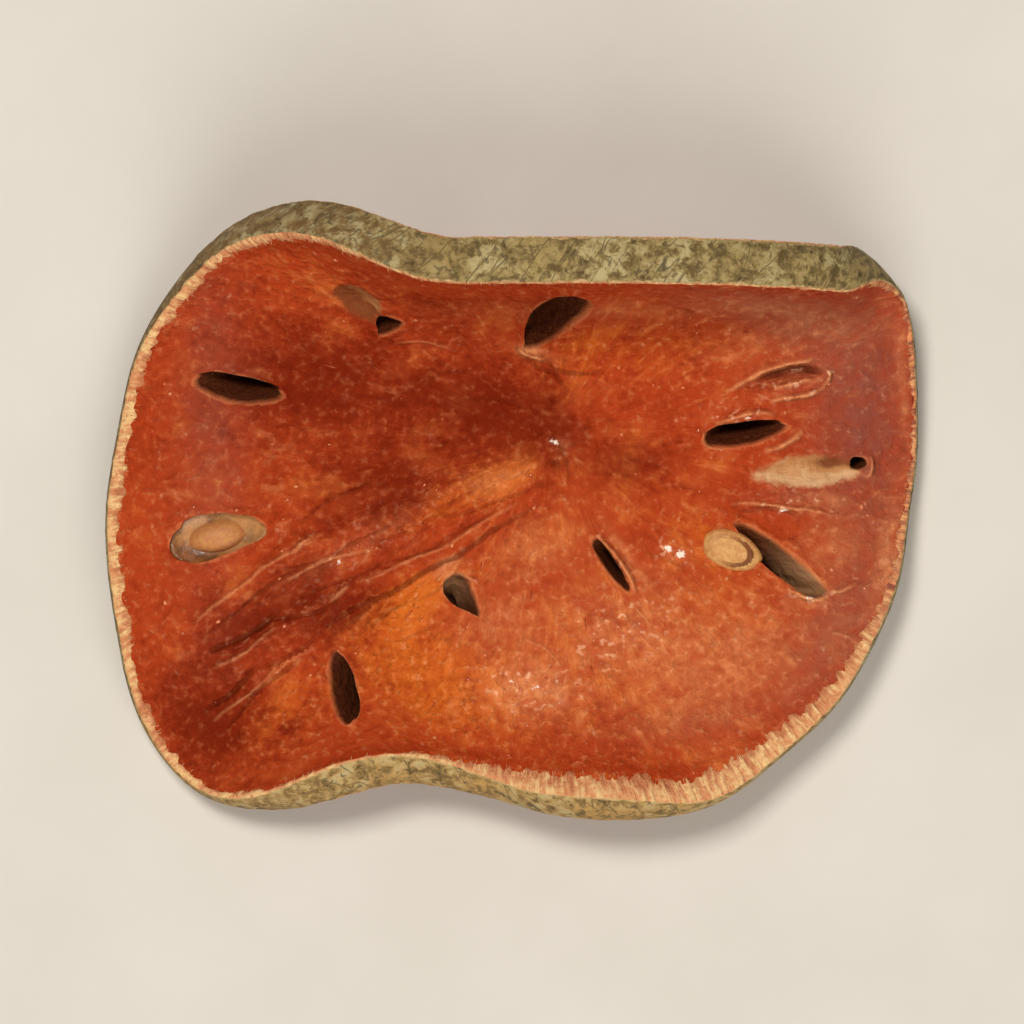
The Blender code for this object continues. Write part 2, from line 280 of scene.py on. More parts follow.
def slope(u, v):
    """How steeply the bent slice climbs along v, in radians."""
    lip = LIP_LEFT_ANGLE + (LIP_ANGLE - LIP_LEFT_ANGLE) * smooth(*LIP_LEFT_SPAN, u)
    lip = lip * (1.0 - LIP_RIGHT_LOSS * smooth(*LIP_RIGHT_SPAN, u))
    near = sum(angle * np.exp(-(((u - at) / reach) ** 2)) for angle, at, reach in NEAR_BENDS)
    return np.radians(lip * smooth(*LIP_SPAN, v) - near * smooth(*NEAR_SPAN, -v))


def mid_surface(u, v):
    """Points of the bent slice's middle layer."""
    steps = (np.arange(BEND_STEPS) + 0.5) / BEND_STEPS
    climb = slope(u[:, None], v[:, None] * steps)
    y = v * np.cos(climb).mean(axis=1)
    z = v * np.sin(climb).mean(axis=1)
    z = z - END_DROOP * (u / END_REACH) ** 2
    for foot_u, foot_v, drop in FEET:
        away = (u - foot_u) ** 2 + (v - foot_v) ** 2
        z = z - drop * np.exp(-away / FOOT_SPREAD**2)
    return np.stack([u, y, z], axis=1)


def bend(flat):
    """Flat points (u, v, w) carried onto the bent slice, w along its local normal."""
    u, v, w = flat.T
    step = 0.05
    along_u = mid_surface(u + step, v) - mid_surface(u - step, v)
    along_v = mid_surface(u, v + step) - mid_surface(u, v - step)
    normal = np.cross(along_u, along_v)
    normal[:, 0] *= 1.0 - CORNER_EASE * smooth(*CORNER_SPAN_U, u) * smooth(*CORNER_SPAN_V, v)
    normal /= np.linalg.norm(normal, axis=1, keepdims=True)
    return mid_surface(u, v) + w[:, None] * normal


def oval_place(u, v, centre_u, centre_v, length, width, turn):
    """Where a point lies along an oval and across it, each from -1 to 1 within."""
    c, s = heading(turn)
    along = ((u - centre_u) * c + (v - centre_v) * s) / (length / 2)
    across = ((v - centre_v) * c - (u - centre_u) * s) / (width / 2)
    return along, across


def in_oval(u, v, centre_u, centre_v, length, width, turn, taper=0.0):
    """0 at an oval's centre, 1 on its outline and more outside."""
    along, across = oval_place(u, v, centre_u, centre_v, length, width, turn)
    across = across / (1.0 + taper * np.clip(along, -1.0, 1.0))
    return np.hypot(along, across)


def off_oval(u, v, centre_u, centre_v, *shape):
    """Distance from a point to an oval's outline, towards its centre; negative inside."""
    reach = np.maximum(in_oval(u, v, centre_u, centre_v, *shape), 0.01)
    return np.hypot(u - centre_u, v - centre_v) * (1.0 - 1.0 / reach)


def oval_points(centre_u, centre_v, length, width, turn, taper, count, margin=0.0, scale=1.0, rng=None):
    """Points round an oval that is scaled and then grown by a margin, uneven if a generator is given."""
    t = np.arange(count) * 2 * np.pi / count
    uneven = np.ones(count)
    if rng is not None:
        for size, waves in CELL_WOBBLES:
            uneven += size * np.sin(waves * t + rng.uniform(0, 2 * np.pi))
    out = np.sign(np.cos(t)) * np.abs(np.cos(t)) ** CELL_FULLNESS
    aside = np.sign(np.sin(t)) * np.abs(np.sin(t)) ** CELL_FULLNESS
    along = out * (length / 2 * scale * uneven + margin)
    across = aside * (width / 2 * scale * uneven + margin) * (1.0 + taper * out)
    c, s = heading(turn)
    return np.stack([centre_u + along * c - across * s, centre_v + along * s + across * c], axis=1)


def inside(points, outline):
    """Which points lie within a closed outline."""
    held = np.zeros(len(points), dtype=bool)
    low, high = outline.min(axis=0), outline.max(axis=0)
    near = np.flatnonzero(np.all((points >= low) & (points <= high), axis=1))
    x, y = points[near].T
    crossings = np.zeros(len(near), dtype=bool)
    for (x0, y0), (x1, y1) in zip(outline, np.roll(outline, -1, axis=0)):
        straddles = (y0 > y) != (y1 > y)
        crossings ^= straddles & (x < x0 + (y - y0) * (x1 - x0) / (y1 - y0 + 1e-12))
    held[near[crossings]] = True
    return held


def folds(u, v):
    """Height of the broad folds that lead from the core to the near left corner."""
    c, s = heading(FOLD_HEADING)
    out = u * c + v * s
    aside = v * c - u * s
    for size, waves, start in FOLD_WAVES:
        aside = aside + size * np.sin(waves * out + start)
    window = smooth(*FOLD_START, out) * (1.0 - smooth(*FOLD_END, out))
    window = window * np.exp(-((aside / FOLD_SPREAD) ** 2))
    return FOLD_HEIGHT * window * np.cos(2 * np.pi * aside / FOLD_PITCH)


def line_points(line):
    """Points along a fine line, its bow left out."""
    u0, v0, u1, v1, _, _ = line
    t = np.linspace(0.0, 1.0, 9)
    return np.stack([u0 + (u1 - u0) * t, v0 + (v1 - v0) * t], axis=1)


def line_sheets():
    """The fine lines, shared out so that lines close to each other are in different sheets."""
    sheets = [[] for _ in range(LINE_SHEETS)]
    for line in LINES:
        here = line_points(line)
        room = []
        for sheet in sheets:
            others = [line_points(other) for other in sheet]
            gaps = [np.min(np.linalg.norm(here[:, None] - other[None], axis=2)) for other in others]
            room.append(min(gaps, default=np.inf))
        sheets[int(np.argmax(room))].append(line)
    return sheets


def nearest_line(u, v, sheet):
    """Signed distance to a sheet's nearest fine line, in line widths, its strength there, and its depth."""
    away = np.full(len(u), FAR_AWAY)
    strength, depth = np.zeros(len(u)), np.zeros(len(u))
    waver, waves = LINE_WAVER
    for u0, v0, u1, v1, bow, sunk in sheet:
        length = np.hypot(u1 - u0, v1 - v0)
        width = LINE_WIDTH + LINE_WIDENING * abs(sunk)
        c, s = (u1 - u0) / length, (v1 - v0) / length
        t = ((u - u0) * c + (v - v0) * s) / length
        held = np.clip(t, 0.0, 1.0)
        aside = (v - v0) * c - (u - u0) * s - bow * 4 * held * (1 - held)
        aside = (aside + waver * np.sin(waves * held * length + 7 * bow)) / width
        off = np.hypot(aside, (t - held) * length / width)
        closer = off < np.abs(away)
        ends = np.sqrt(np.clip(4 * held * (1 - held), 0.0, 1.0))
        fade = ends * (1.0 - smooth(0.4, 1.0, off / LINE_REACH))
        away = np.where(closer, np.where(aside < 0, -off, off), away)
        strength = np.where(closer, fade * abs(sunk), strength)
        depth = np.where(closer, sunk, depth)
    return away, strength, depth


def pits(u, v):
    """Depth of the small pits round the core."""
    return -sum(d * np.exp(-(((u - a) ** 2 + (v - b) ** 2) / r**2)) for a, b, r, d in PITS)


def face_height(u, v, side):
    """Distance of the pulp's cut face from the middle layer; side is 1 above and -1 below."""
    within = past_rind(u, v)
    climb = (1.0 - smooth(*RIM_CLIMB_SPAN, within)) * (RIND_THICKNESS - PULP_THICKNESS) / 2
    height = PULP_THICKNESS / 2 + RIM_CLIMB * climb
    calm = smooth(*RELIEF_SPAN, within)
    lines = 0.0
    for sheet in line_sheets():
        away, strength, depth = nearest_line(u, v, sheet)
        lines -= LINE_DEPTH * np.sign(depth) * strength * np.exp(-((away / LINE_SHARPNESS) ** 2))
    height += side * folds(u, v) * calm + (lines + pits(u, v)) * calm
    for name, (*oval, filling) in CELLS.items():
        if filling == "skin":
            reach = in_oval(u, v, *oval)
            height -= SKIN_DENTS[name] * (1.0 - smooth(*DENT_SPAN, reach))
        else:
            away = np.maximum(off_oval(u, v, *oval), 0.0)
            height += LIP_RAISE * np.exp(-((away / LIP_WIDTH) ** 2))
    return height


def lean(u, v, level):
    """Sideways shift of the pulp round its cells, which close and lean towards the under face."""
    moves = np.zeros((len(u), 2))
    pulls = np.full(len(u), 1e-9)
    for name, (*oval, filling) in CELLS.items():
        if filling != "open":
            continue
        share, shift, slip = CELL_CLOSINGS.get(name, CELL_CLOSING)
        centre_u, centre_v, length, width, turn, _ = oval
        c, s = heading(turn)
        across = np.array([-s, c]) * np.sign(c) * shift * width + np.array([c, s]) * slip * length
        pull = np.exp(-((np.maximum(off_oval(u, v, *oval), 0.0) / CELL_PULL_REACH) ** 2))
        move = across - (1.0 - share) * np.stack([u - centre_u, v - centre_v], axis=1)
        moves += (pull**2)[:, None] * move
        pulls += pull
    depth = (1.0 - level) ** CELL_PULL_CURVE
    return moves / pulls[:, None] * depth


def boundary_loops(faces):
    """Closed chains of the edges that only one triangle has, with the slice on their left."""
    pairs = np.concatenate([faces[:, (0, 1)], faces[:, (1, 2)], faces[:, (2, 0)]])
    edges = set(map(tuple, pairs.tolist()))
    following = {a: b for a, b in edges if (b, a) not in edges}
    loops = []
    while following:
        start = min(following)
        here = following.pop(start)
        loop = [start]
        while here != start:
            loop.append(here)
            here = following.pop(here)
        loops.append(loop)
    return loops


def pulp_layout(rng):
    """The flat pulp's points and triangles, with its cells left open."""
    count = int(2 * np.pi * np.mean(RIM_RADII) / PULP_PITCH)
    angles = np.arange(count) * 2 * np.pi / count
    edge = rim_radius(angles) - rind_width(angles) * (1.0 - PULP_ROOT)
    loops = [np.stack([np.cos(angles) * edge, np.sin(angles) * edge], axis=1)]
    cells = []
    for *oval, filling in CELLS.values():
        if filling == "skin":
            continue
        around = int(np.pi * (oval[2] + oval[3]) / 2 / PULP_PITCH) + 8
        cells.append(oval_points(*oval, around, rng=rng))

    reach = max(RIM_RADII) + PULP_PITCH
    rows = np.arange(-reach, reach, PULP_PITCH * np.sqrt(0.75))
    cols = np.arange(-reach, reach, PULP_PITCH)
    shift = (np.arange(len(rows)) % 2) * PULP_PITCH / 2
    grid = np.stack([np.add.outer(shift, cols).ravel(), np.repeat(rows, len(cols))], axis=1)
    grid += rng.uniform(-PITCH_JITTER, PITCH_JITTER, grid.shape) * PULP_PITCH
    angle = np.arctan2(grid[:, 1], grid[:, 0])
    past = rim_radius(angle) - np.hypot(*grid.T) - rind_width(angle) * (1.0 - PULP_ROOT)
    grid = grid[past > PULP_PITCH * RIM_ROOM]
    for cell in cells:
        near = np.flatnonzero(np.hypot(*(grid - cell.mean(axis=0)).T) < CELL_REACH)
        gap = np.min(np.hypot(*(grid[near, None] - cell[None]).transpose(2, 0, 1)), axis=1)
        crowded = (gap < PULP_PITCH * CELL_ROOM) | inside(grid[near], cell)
        grid = np.delete(grid, near[crowded], axis=0)

    points, edges = [], []
    for loop in loops + cells:
        first = len(points)
        points.extend(loop)
        edges.extend((first + k, first + (k + 1) % len(loop)) for k in range(len(loop)))
    points.extend(grid)
    points, _, faces, *_ = delaunay_2d_cdt([tuple(p) for p in points], edges, [], 1, 1e-5)
    points = np.array([tuple(p) for p in points])
    faces = np.array([tuple(f) for f in faces])
    middle = points[faces].mean(axis=1)
    for cell in cells:
        kept = ~inside(middle, cell)
        faces, middle = faces[kept], middle[kept]
    return points, faces


def flat_pulp():
    """The pulp before it bends: flat points and faces of one closed slab with its cells."""
    points, faces = pulp_layout(np.random.default_rng(SEED))
    count = len(points)
    u, v = points.T
    top, low = face_height(u, v, 1), -face_height(u, v, -1)
    levels = ((1.0, top), (0.0, low))
    flat = [np.column_stack([points + lean(u, v, level), w]) for level, w in levels]
    solid = [tuple(f) for f in faces.tolist()]
    solid += [(c + count, b + count, a + count) for a, b, c in faces.tolist()]
    made = 2 * count
    for loop in boundary_loops(faces):
        edge = points[loop]
        columns = [list(loop)]
        for level in LINING_LEVELS:
            w = top[loop] * level + low[loop] * (1.0 - level)
            moved = edge + lean(*edge.T, level)
            flat.append(np.column_stack([moved, w]))
            columns.append(list(range(made, made + len(loop))))
            made += len(loop)
        columns.append([k + count for k in loop])
        for above, below in zip(columns, columns[1:]):
            for k in range(len(loop)):
                after = (k + 1) % len(loop)
                solid.append((above[after], above[k], below[k], below[after]))
    flat = np.concatenate(flat)
    # Weight of the painted shade and light on the walls: 1 on the walls round the cells and the rim, and at
    # the under face's edges.
    wall_shade = np.zeros(len(flat))
    wall_shade[2 * count:] = 1.0
    rims = np.concatenate([np.array(loop) for loop in boundary_loops(faces)])
    wall_shade[rims + count] = 1.0
    return flat, solid, wall_shade


def ring_faces(around, through):
    """Quads of a closed ring: around by through points, both ways round."""
    i = np.repeat(np.arange(around), through)
    j = np.tile(np.arange(through), around)
    a, b = (i + 1) % around, (j + 1) % through
    return np.stack([i * through + j, a * through + j, a * through + b, i * through + b], axis=1)


def flat_rind():
    """The rind before it bends: a closed ring with two cut faces and a bulging outer wall."""
    around = int(2 * np.pi * np.mean(RIM_RADII) / RIM_PITCH)
    angles = np.arange(around) * 2 * np.pi / around
    rng = np.random.default_rng(SEED + 1)
    ragged = np.zeros(around)
    for waves in RAGGED_WAVES:
        ragged += RAGGED_HEIGHT * np.sin(waves * angles + rng.uniform(0, 2 * np.pi))
    width = rind_width(angles) + ragged
    half = RIND_THICKNESS / 2
    across = np.linspace(0.0, 1.0, CUT_STEPS)
    down = np.linspace(0.0, np.pi, WALL_STEPS)[1:-1]
    cut = [(t, half - CUT_DISH * (1 - t) ** 3 - CUT_ROUNDING * t**8) for t in across]
    wall = [(1.0, (half - CUT_ROUNDING) * np.cos(t)) for t in down]
    root, root_half = RIND_ROOT
    hidden = [(-root, -root_half), (-root, root_half)]
    profile = cut + wall + [(t, -w) for t, w in reversed(cut)] + hidden
    rows = []
    for k, (t, w) in enumerate(profile):
        bulges = len(cut) <= k < len(cut) + len(wall)
        swell = RIND_BULGE * (1.0 - (w / half) ** 2) if bulges else 0.0
        radius = rim_radius(angles) - width * (1.0 - t) + swell
        row = [np.cos(angles) * radius, np.sin(angles) * radius, np.full(around, w)]
        rows.append(np.stack(row, axis=1))
    flat = np.stack(rows, axis=1).reshape(-1, 3)
    through = len(rows)
    wall_rows = range(len(cut) - 1, len(cut) + len(wall) + 1)
    faces = ring_faces(around, through)
    face_rows = np.tile(np.arange(through), around)
    finish = np.isin(face_rows, list(wall_rows)[:-1]).astype(int)
    return flat, [tuple(f[::-1]) for f in faces.tolist()], finish


def flat_seed(centre_u, centre_v, length, width, turn, half, flatness):
    """One seed as a closed oval body; a high flatness leaves it cut flat above and below."""
    rings, spokes = SEED_MESH
    rise = np.linspace(-np.pi / 2, np.pi / 2, rings + 2)[1:-1]
    t = np.arange(spokes) * 2 * np.pi / spokes
    power = 2.0 / flatness
    out = np.abs(np.cos(rise)) ** power
    up = np.sign(np.sin(rise)) * np.abs(np.sin(rise)) ** power
    along = np.outer(out, np.cos(t) * (1 + 0.03 * np.sin(5 * t))) * length / 2
    across = np.outer(out, np.sin(t) * (1 - 0.1 * np.cos(t))) * width / 2
    c, s = heading(turn)
    u = centre_u + along * c - across * s
    v = centre_v + along * s + across * c
    w = np.repeat((up * half)[:, None], spokes, axis=1)
    body = np.stack([u, v, w], axis=2).reshape(-1, 3)
    ends = np.array([[centre_u, centre_v, -half], [centre_u, centre_v, half]])
    place = np.stack([2 * along / length, 2 * across / width, w / half], axis=2).reshape(-1, 3)
    place = np.concatenate([place, [[0, 0, -1], [0, 0, 1]]])
    faces = []
    for i in range(rings - 1):
        for k in range(spokes):
            n = (k + 1) % spokes
            faces.append((i * spokes + k, i * spokes + n, (i + 1) * spokes + n, (i + 1) * spokes + k))
    low, high = rings * spokes, rings * spokes + 1
    for k in range(spokes):
        n = (k + 1) % spokes
        faces.append((low, n, k))
        faces.append((high, (rings - 1) * spokes + k, (rings - 1) * spokes + n))
    return np.concatenate([body, ends]), faces, place


def flat_web(oval, rng):
    """Dried gum across one cell: a closed lens, thin at its middle and climbing the cell's walls."""
    rings, spokes = WEB_MESH
    scales = np.linspace(0.0, 1.0, rings + 1)[1:]
    uneven = rng.uniform(-GUM_RIPPLE, GUM_RIPPLE, 4)
    layers = []
    for side in (1, -1):
        for scale in scales:
            loop = oval_points(*oval, spokes, margin=GUM_MARGIN * scale, scale=scale)
            t = np.arange(spokes) * 2 * np.pi / spokes
            ripple = sum(a * np.sin((k + 2) * t + 3 * a) for k, a in enumerate(uneven)) * scale
            w = GUM_THICKNESS / 2 + GUM_CLIMB * scale**3 + ripple * 0.6
            layers.append(np.column_stack([loop, side * w]))
    centre = np.array([[oval[0], oval[1], side * GUM_THICKNESS / 2] for side in (1, -1)])
    faces = []
    for side in (0, 1):
        first = side * rings * spokes
        hub = 2 * rings * spokes + side
        for k in range(spokes):
            n = (k + 1) % spokes
            strip = [(hub, first + k, first + n)]
            for r in range(rings - 1):
                a, b = first + r * spokes, first + (r + 1) * spokes
                strip.append((a + k, b + k, b + n, a + n))
            faces.extend(f if side == 0 else f[::-1] for f in strip)
    upper, lower = (rings - 1) * spokes, (2 * rings - 1) * spokes
    for k in range(spokes):
        n = (k + 1) % spokes
        faces.append((upper + n, upper + k, lower + k, lower + n))
    return np.concatenate(layers + [centre]), faces


def spoke_place(flat, spread, stretch):
    """A seamless place for patterns that run out from the core: direction times spread, and distance."""
    u, v, w = flat.T
    reach = np.maximum(np.hypot(u, v), 0.01)
    return np.stack([u / reach * spread, v / reach * spread, (reach + w) / stretch], axis=1)


def films(u, v):
    """How far out a point lies in the nearest skin of dried gum, and how pale the skin is there."""
    reach, tone = np.full(len(u), FAR_AWAY), np.zeros(len(u))
    for name, (far, near) in FILM_TONES.items():
        *oval, _ = CELLS[name]
        held = in_oval(u, v, *oval)
        along, aside = oval_place(u, v, *oval[:5])
        here = far + (near - far) * smooth(0.5, -0.5, aside)
        here = here - 0.5 * smooth(0.0, 0.5, along) * smooth(-0.3, 0.3, aside)
        tone = np.where(held < reach, here, tone)
        reach = np.minimum(reach, held)
    return reach, tone


def patches(flat, spots):
    """Weight from 0 to 1 of a few soft oval patches: u, v, length, width, turn and strength."""
    u, v, _ = flat.T
    total = np.zeros(len(u))
    for *oval, strength in spots:
        total = 1.0 - (1.0 - total) * (1.0 - strength * np.exp(-(in_oval(u, v, *oval) ** 2)))
    return total


# Where the pulp's colour and gloss change: u, v, length, width, turn and strength.
SPOTS = {
    "warm": (
        (-4.8, -3.3, 7.6, 3.6, 24, 1),
        (-9.5, -6, 7, 2.6, 26, 0.45),
        (-12.5, -14.3, 10, 3.4, 26, 0.75),
        (-13, -19, 9, 9, 20, 0.6),
        (-1.5, -9, 9, 5, 20, 0.35),
        (-8.5, -22.5, 12, 7, 10, 0.55),
        (-23.5, -24.5, 9, 5, 40, 0.4),
        (3, 9, 6, 3, 20, 0.5),
        (13.5, -9, 8, 4, -30, 0.35),
        (10, 8.5, 16, 6, 10, 0.3),
        (2, -22, 30, 12, 0, 0.3),
        (12, -15, 14, 8, 0, 0.25),
    ),
    "deep": (
        (-20, 6, 24, 15, 10, 0.8),
        (-6, 3, 15, 9, 0, 0.9),
        (-14, -4, 14, 6, 20, 0.6),
        (-6, 15, 26, 3, 0, 0.3),
        (-30, -25, 13, 13, 30, 0.8),
        (-24, -14.5, 18, 6, 26, 0.75),
        (-19, -15.5, 8, 3, 26, 0.8),
        (6.5, -2, 11, 6, 0, 0.7),
        (-17, -3.5, 14, 9, 20, 0.4),
        (-17.5, -19, 5, 7, 10, 0.3),
        (0, 2, 5, 10, 0, 0.5),
        (20.8, 5.9, 6, 1.5, 14, 0.7),
        (28.3, 8, 4, 11, 8, 0.4),
        # Painted shade in the two pits by the core.
        (0.2, -2.1, 1.1, 0.9, 0, 0.9),
        (0, 3.4, 1, 0.9, 0, 0.8),
        (20, -4.8, 5, 0.8, -4, 0.4),
    ),
    "bruise": (
        (27.2, 2.5, 9.5, 27, 4, 1),
        (26, -16, 18, 7, 58, 0.8),
        (21, 13, 20, 7, -30, 0.9),
        (22, -5, 8, 2.5, 0, 0.4),
        (12, -25, 16, 4, 10, 0.4),
        (-30, 2, 6, 30, 0, 0.5),
    ),
    # Pale flesh, and painted light: a painted reflection on the glossy patch at the front, painted
    # highlights at the core, on the lips of cells and at the end of right_low, and painted light on the
    # steep strip under the rind.
    "pale": (
        (-2, -22.3, 8, 5, 0, 0.7),
        (9, -18.5, 16, 11, -15, 0.42),
        (-1.5, -9.5, 8, 4.5, 20, 0.4),
        (20, 13.5, 16, 4, -20, 0.35),
        (6, 13.4, 26, 3, 0, 0.25),
        (18, 9, 10, 4, 15, 0.25),
        (24.5, -9.5, 5, 6, -40, 0.35),
        (-4.5, -16.5, 8, 5, 0, 0.35),
        (17, -19, 14, 8, 30, 0.35),
        (-1.8, 8.2, 3.6, 1.1, -18, 1),
        (6.6, -10.4, 6.5, 0.9, -56, 0.6),
        (-9, -12, 2.6, 1.3, -20, 0.7),
        (20.5, 5.8, 8, 2.6, 16, 0.25),
        (23.5, -5.4, 6, 1.2, -5, 0.4),
        (29.5, -11, 2.5, 10, -10, 0.5),
        (-17, -9, 12, 2, 30, 0.2),
        (0.9, -0.5, 1.6, 1.2, 0, 0.35),
        (-9.3, -10.9, 2.4, 1, 10, 0.7),
        (-4.9, -3.5, 5.6, 2.4, 24, 0.5),
        (22.6, -13.9, 3.4, 0.8, -12, 0.6),
        (30.8, 6, 0.8, 12, 4, 0.35),
    ),
    # Where the pulp is wet and glossy; painted glints go into its colour there.
    "glaze": (
        (-2, -22, 8, 4.5, 0, 1),
        (10.8, -9.9, 3.4, 2.2, -20, 1),
        (6.5, -16.5, 8, 6, 0, 0.7),
        (-17, -9, 14, 4.5, 30, 0.35),
        (0.8, -0.5, 3, 5, 0, 0.4),
        (21, 5.6, 7, 3, 16, 0.8),
        (22, -5.8, 9, 1.8, -5, 0.8),
        (-24.5, -16, 14, 5, 26, 0.3),
        (3.2, -17.8, 5, 2.5, 40, 0.7),
        (17, 2.1, 3.4, 0.9, 8, 0.8),
        (22.6, -13.9, 3, 0.9, -12, 1),
        (15, 2.4, 5, 1.4, 10, 0.7),
        (26, -13.2, 3, 1.2, 20, 0.9),
    ),
    # Painted highlights: bright specks at given places.
    "gleam": (
        (10.2, -9.6, 1.1, 0.7, -20, 1),
        (11.3, -10.1, 1.3, 1, 10, 1),
        (0.2, -0.2, 2, 0.8, -20, 0.74),
        (20.2, -6.2, 1.8, 0.6, -20, 0.8),
        (22.4, -14, 2.2, 0.6, -5, 0.8),
        (17.2, 2, 1.5, 0.4, 8, 0.8),
        (14.8, -0.9, 1.2, 0.5, -20, 0.7),
        (-1.5, -22, 1.6, 0.8, 20, 0.7),
        (-3.6, -21.4, 1.2, 0.7, -20, 0.7),
        (0.8, -23.4, 1.4, 0.8, 0, 0.6),
        (-18.9, -10.8, 1, 0.9, 0, 0.8),
        (-16.5, -10.4, 0.6, 0.9, 0, 0.6),
        (-22.2, -9.2, 0.7, 0.6, 0, 0.6),
        (5, -19.4, 0.9, 0.6, 0, 0.5),
        (9.4, -16, 1, 0.5, 30, 0.5),
    ),
    # Painted light on the walls of the low and right_low cells.
    "tan": ((-9.2, -13.6, 3, 3, 0, 1), (22.2, -12.5, 6.5, 4, -40, 1)),
}

# Patterns that run out from the core: how many there are round it, and how long each is.
PULP_SPOKES = (12.0, 4.0)
RIND_SPOKES = (34.0, 4.0)
GUM_SPOKES = (20.0, 2.0)

# Fine wrinkles, and what is scattered over the pulp and along the cut rind. Lengths here are in
# metres, spacings in millimetres and densities per square metre; a bead's radius is its size squared.
PULP_WRINKLES = {"Height": 0.5 * MM, "Spacing": 2.0, "Strand Height": 0.35 * MM, "Strand Spacing": 0.9}
RIND_WRINKLES = {"Height": 0.28 * MM, "Spacing": 1.0, "Strand Height": 0.12 * MM, "Strand Spacing": 1.1}
BEADS = {"Density": 300000.0, "Smallest": 0.0085, "Largest": 0.017}
THREADS = {"Density": 110000.0, "Length": 1.6 * MM, "Thickness": 0.05 * MM, "Lift": 0.0, "Stray": 0.4}
FRINGE = {"Density": 1.0e7, "Length": 0.45 * MM, "Thickness": 0.05 * MM, "Lift": 0.2, "Stray": 0.6}
# How many beads and threads lie where the pulp isn't wet, against the wettest spots.
BEAD_SHARE = 0.16
THREAD_SHARE = 0.2
# Round the cells the pulp is plain: no beads or threads, and fainter wrinkles.
CELL_CALM_REACH = 0.5
CUT_SEED = "right_low"

# Table, light and camera: a light's place, size, power and tone, in metres and watts; the
# camera's lens and sensor in millimetres.
TABLE_DARK_TONE = (208, 204, 196)
TABLE_LIGHT_TONE = (214, 210, 203)
TABLE_REACH = 1.5
TABLE_DROP = 0.00002
LIGHTS = {
    "overhead": ((-0.12, 0.2, 0.58), 0.16, 2.8, (1.0, 0.95, 0.88)),
    "front": ((0.1, -0.42, 0.42), 0.5, 2.4, (1.0, 0.95, 0.89)),
}
ROOM_TONE = (1.0, 0.92, 0.82, 1.0)
ROOM_STRENGTH = 0.15
CAMERA_LENS = 220.0
CAMERA_SENSOR = 36.0
CAMERA_HEIGHT = 0.56


def new_mesh(name, places, faces, attributes=None):
    """A smooth-shaded mesh from places in millimetres, with its vertex attributes."""
    mesh = bpy.data.meshes.new(name)
    mesh.from_pydata((places * MM).tolist(), [], faces)
    mesh.shade_smooth()
    for label, values in (attributes or {}).items():
        values = np.asarray(values, dtype=float)
        kind, field = ("FLOAT_VECTOR", "vector") if values.ndim == 2 else ("FLOAT", "value")
        mesh.attributes.new(label, kind, "POINT").data.foreach_set(field, values.ravel())
    return mesh


def show(name, data):
    """A new object in the scene for a mesh, a light or a camera."""
    made = bpy.data.objects.new(name, data)
    bpy.context.scene.collection.objects.link(made)
    return made


def vertex_places(mesh):
    """A mesh's vertices in metres."""
    places = np.empty(len(mesh.vertices) * 3)
    mesh.vertices.foreach_get("co", places)
    return places.reshape(-1, 3)


def lay_down(pieces):
    """Move the meshes into the frame's place: centred on the CAD slice, and resting on flat spots."""
    places = [vertex_places(piece.data) for piece in pieces]
    everything = np.concatenate(places)
    low, high = everything.min(axis=0), everything.max(axis=0)
    box_low, box_high = (np.array(corner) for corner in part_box("bael_slice"))
    shift = (box_low + box_high - low - high) / 2
    shift[2] = -low[2] - FOOT_GROUND * MM
    for piece, at in zip(pieces, places):
        at = at + shift
        at[:, 2] = np.maximum(at[:, 2], 0.0)
        piece.data.vertices.foreach_set("co", at.ravel())
        piece.data.update()


class Amount:
    """A number or a place that changes over a piece. Arithmetic with it adds nodes to its tree."""

    def __init__(self, socket):
        self.socket = socket

    def through(self, kind, inputs, output=0, **settings):
        """What a new node of the same tree gives."""
        return node(self.socket.id_data, kind, inputs, output, **settings)

    def maths(self, how, other=0.0):
        """One step of arithmetic, named as the Math node names it."""
        return self.through("ShaderNodeMath", {0: self, 1: other}, operation=how)

    def __add__(self, other):
        return self.maths("ADD", other)

    def __sub__(self, other):
        return self.maths("SUBTRACT", other)

    def __mul__(self, other):
        return self.maths("MULTIPLY", other)

    def __abs__(self):
        return self.maths("ABSOLUTE")

    def __rsub__(self, other):
        return self.through("ShaderNodeMath", {0: other, 1: self}, operation="SUBTRACT")

    def __rtruediv__(self, other):
        return self.through("ShaderNodeMath", {0: other, 1: self}, operation="DIVIDE")


def node(tree, kind, inputs=None, output=0, **settings):
    """What a new node gives, with its settings, and with its inputs set or linked by name or number."""
    made = tree.nodes.new(kind)
    for name, value in settings.items():
        setattr(made, name, value)
    for name, value in (inputs or {}).items():
        if isinstance(value, Amount):
            tree.links.new(value.socket, made.inputs[name])
        else:
            made.inputs[name].default_value = value
    return Amount(made.outputs[output])


def outputs(amount, *labels):
    """Other outputs of the node that an amount comes from."""
    found = amount.socket.node.outputs
    return [Amount(found[label]) for label in labels]


def vectors(how, place, other):
    """A place changed by another one, or by a number that scales it."""
    second = "Scale" if how == "SCALE" else 1
    return place.through("ShaderNodeVectorMath", {0: place, second: other}, operation=how)


def parts(place):
    """A place's three numbers."""
    return outputs(place.through("ShaderNodeSeparateXYZ", {0: place}), 0, 1, 2)


def spread(value, low, high, to_low=0.0, to_high=1.0):
    """A value's range carried smoothly onto another range."""
    inputs = {"Value": value, "From Min": low, "From Max": high, "To Min": to_low, "To Max": to_high}
    return value.through("ShaderNodeMapRange", inputs, interpolation_type="SMOOTHSTEP")


def noise(place, scale, detail=4.0, rough=0.55, distortion=0.0):
    """Soft random values from 0 to 1 over a place."""
    labels = ("Vector", "Scale", "Detail", "Roughness", "Distortion")
    inputs = dict(zip(labels, (place, scale, detail, rough, distortion)))
    return place.through("ShaderNodeTexNoise", inputs)


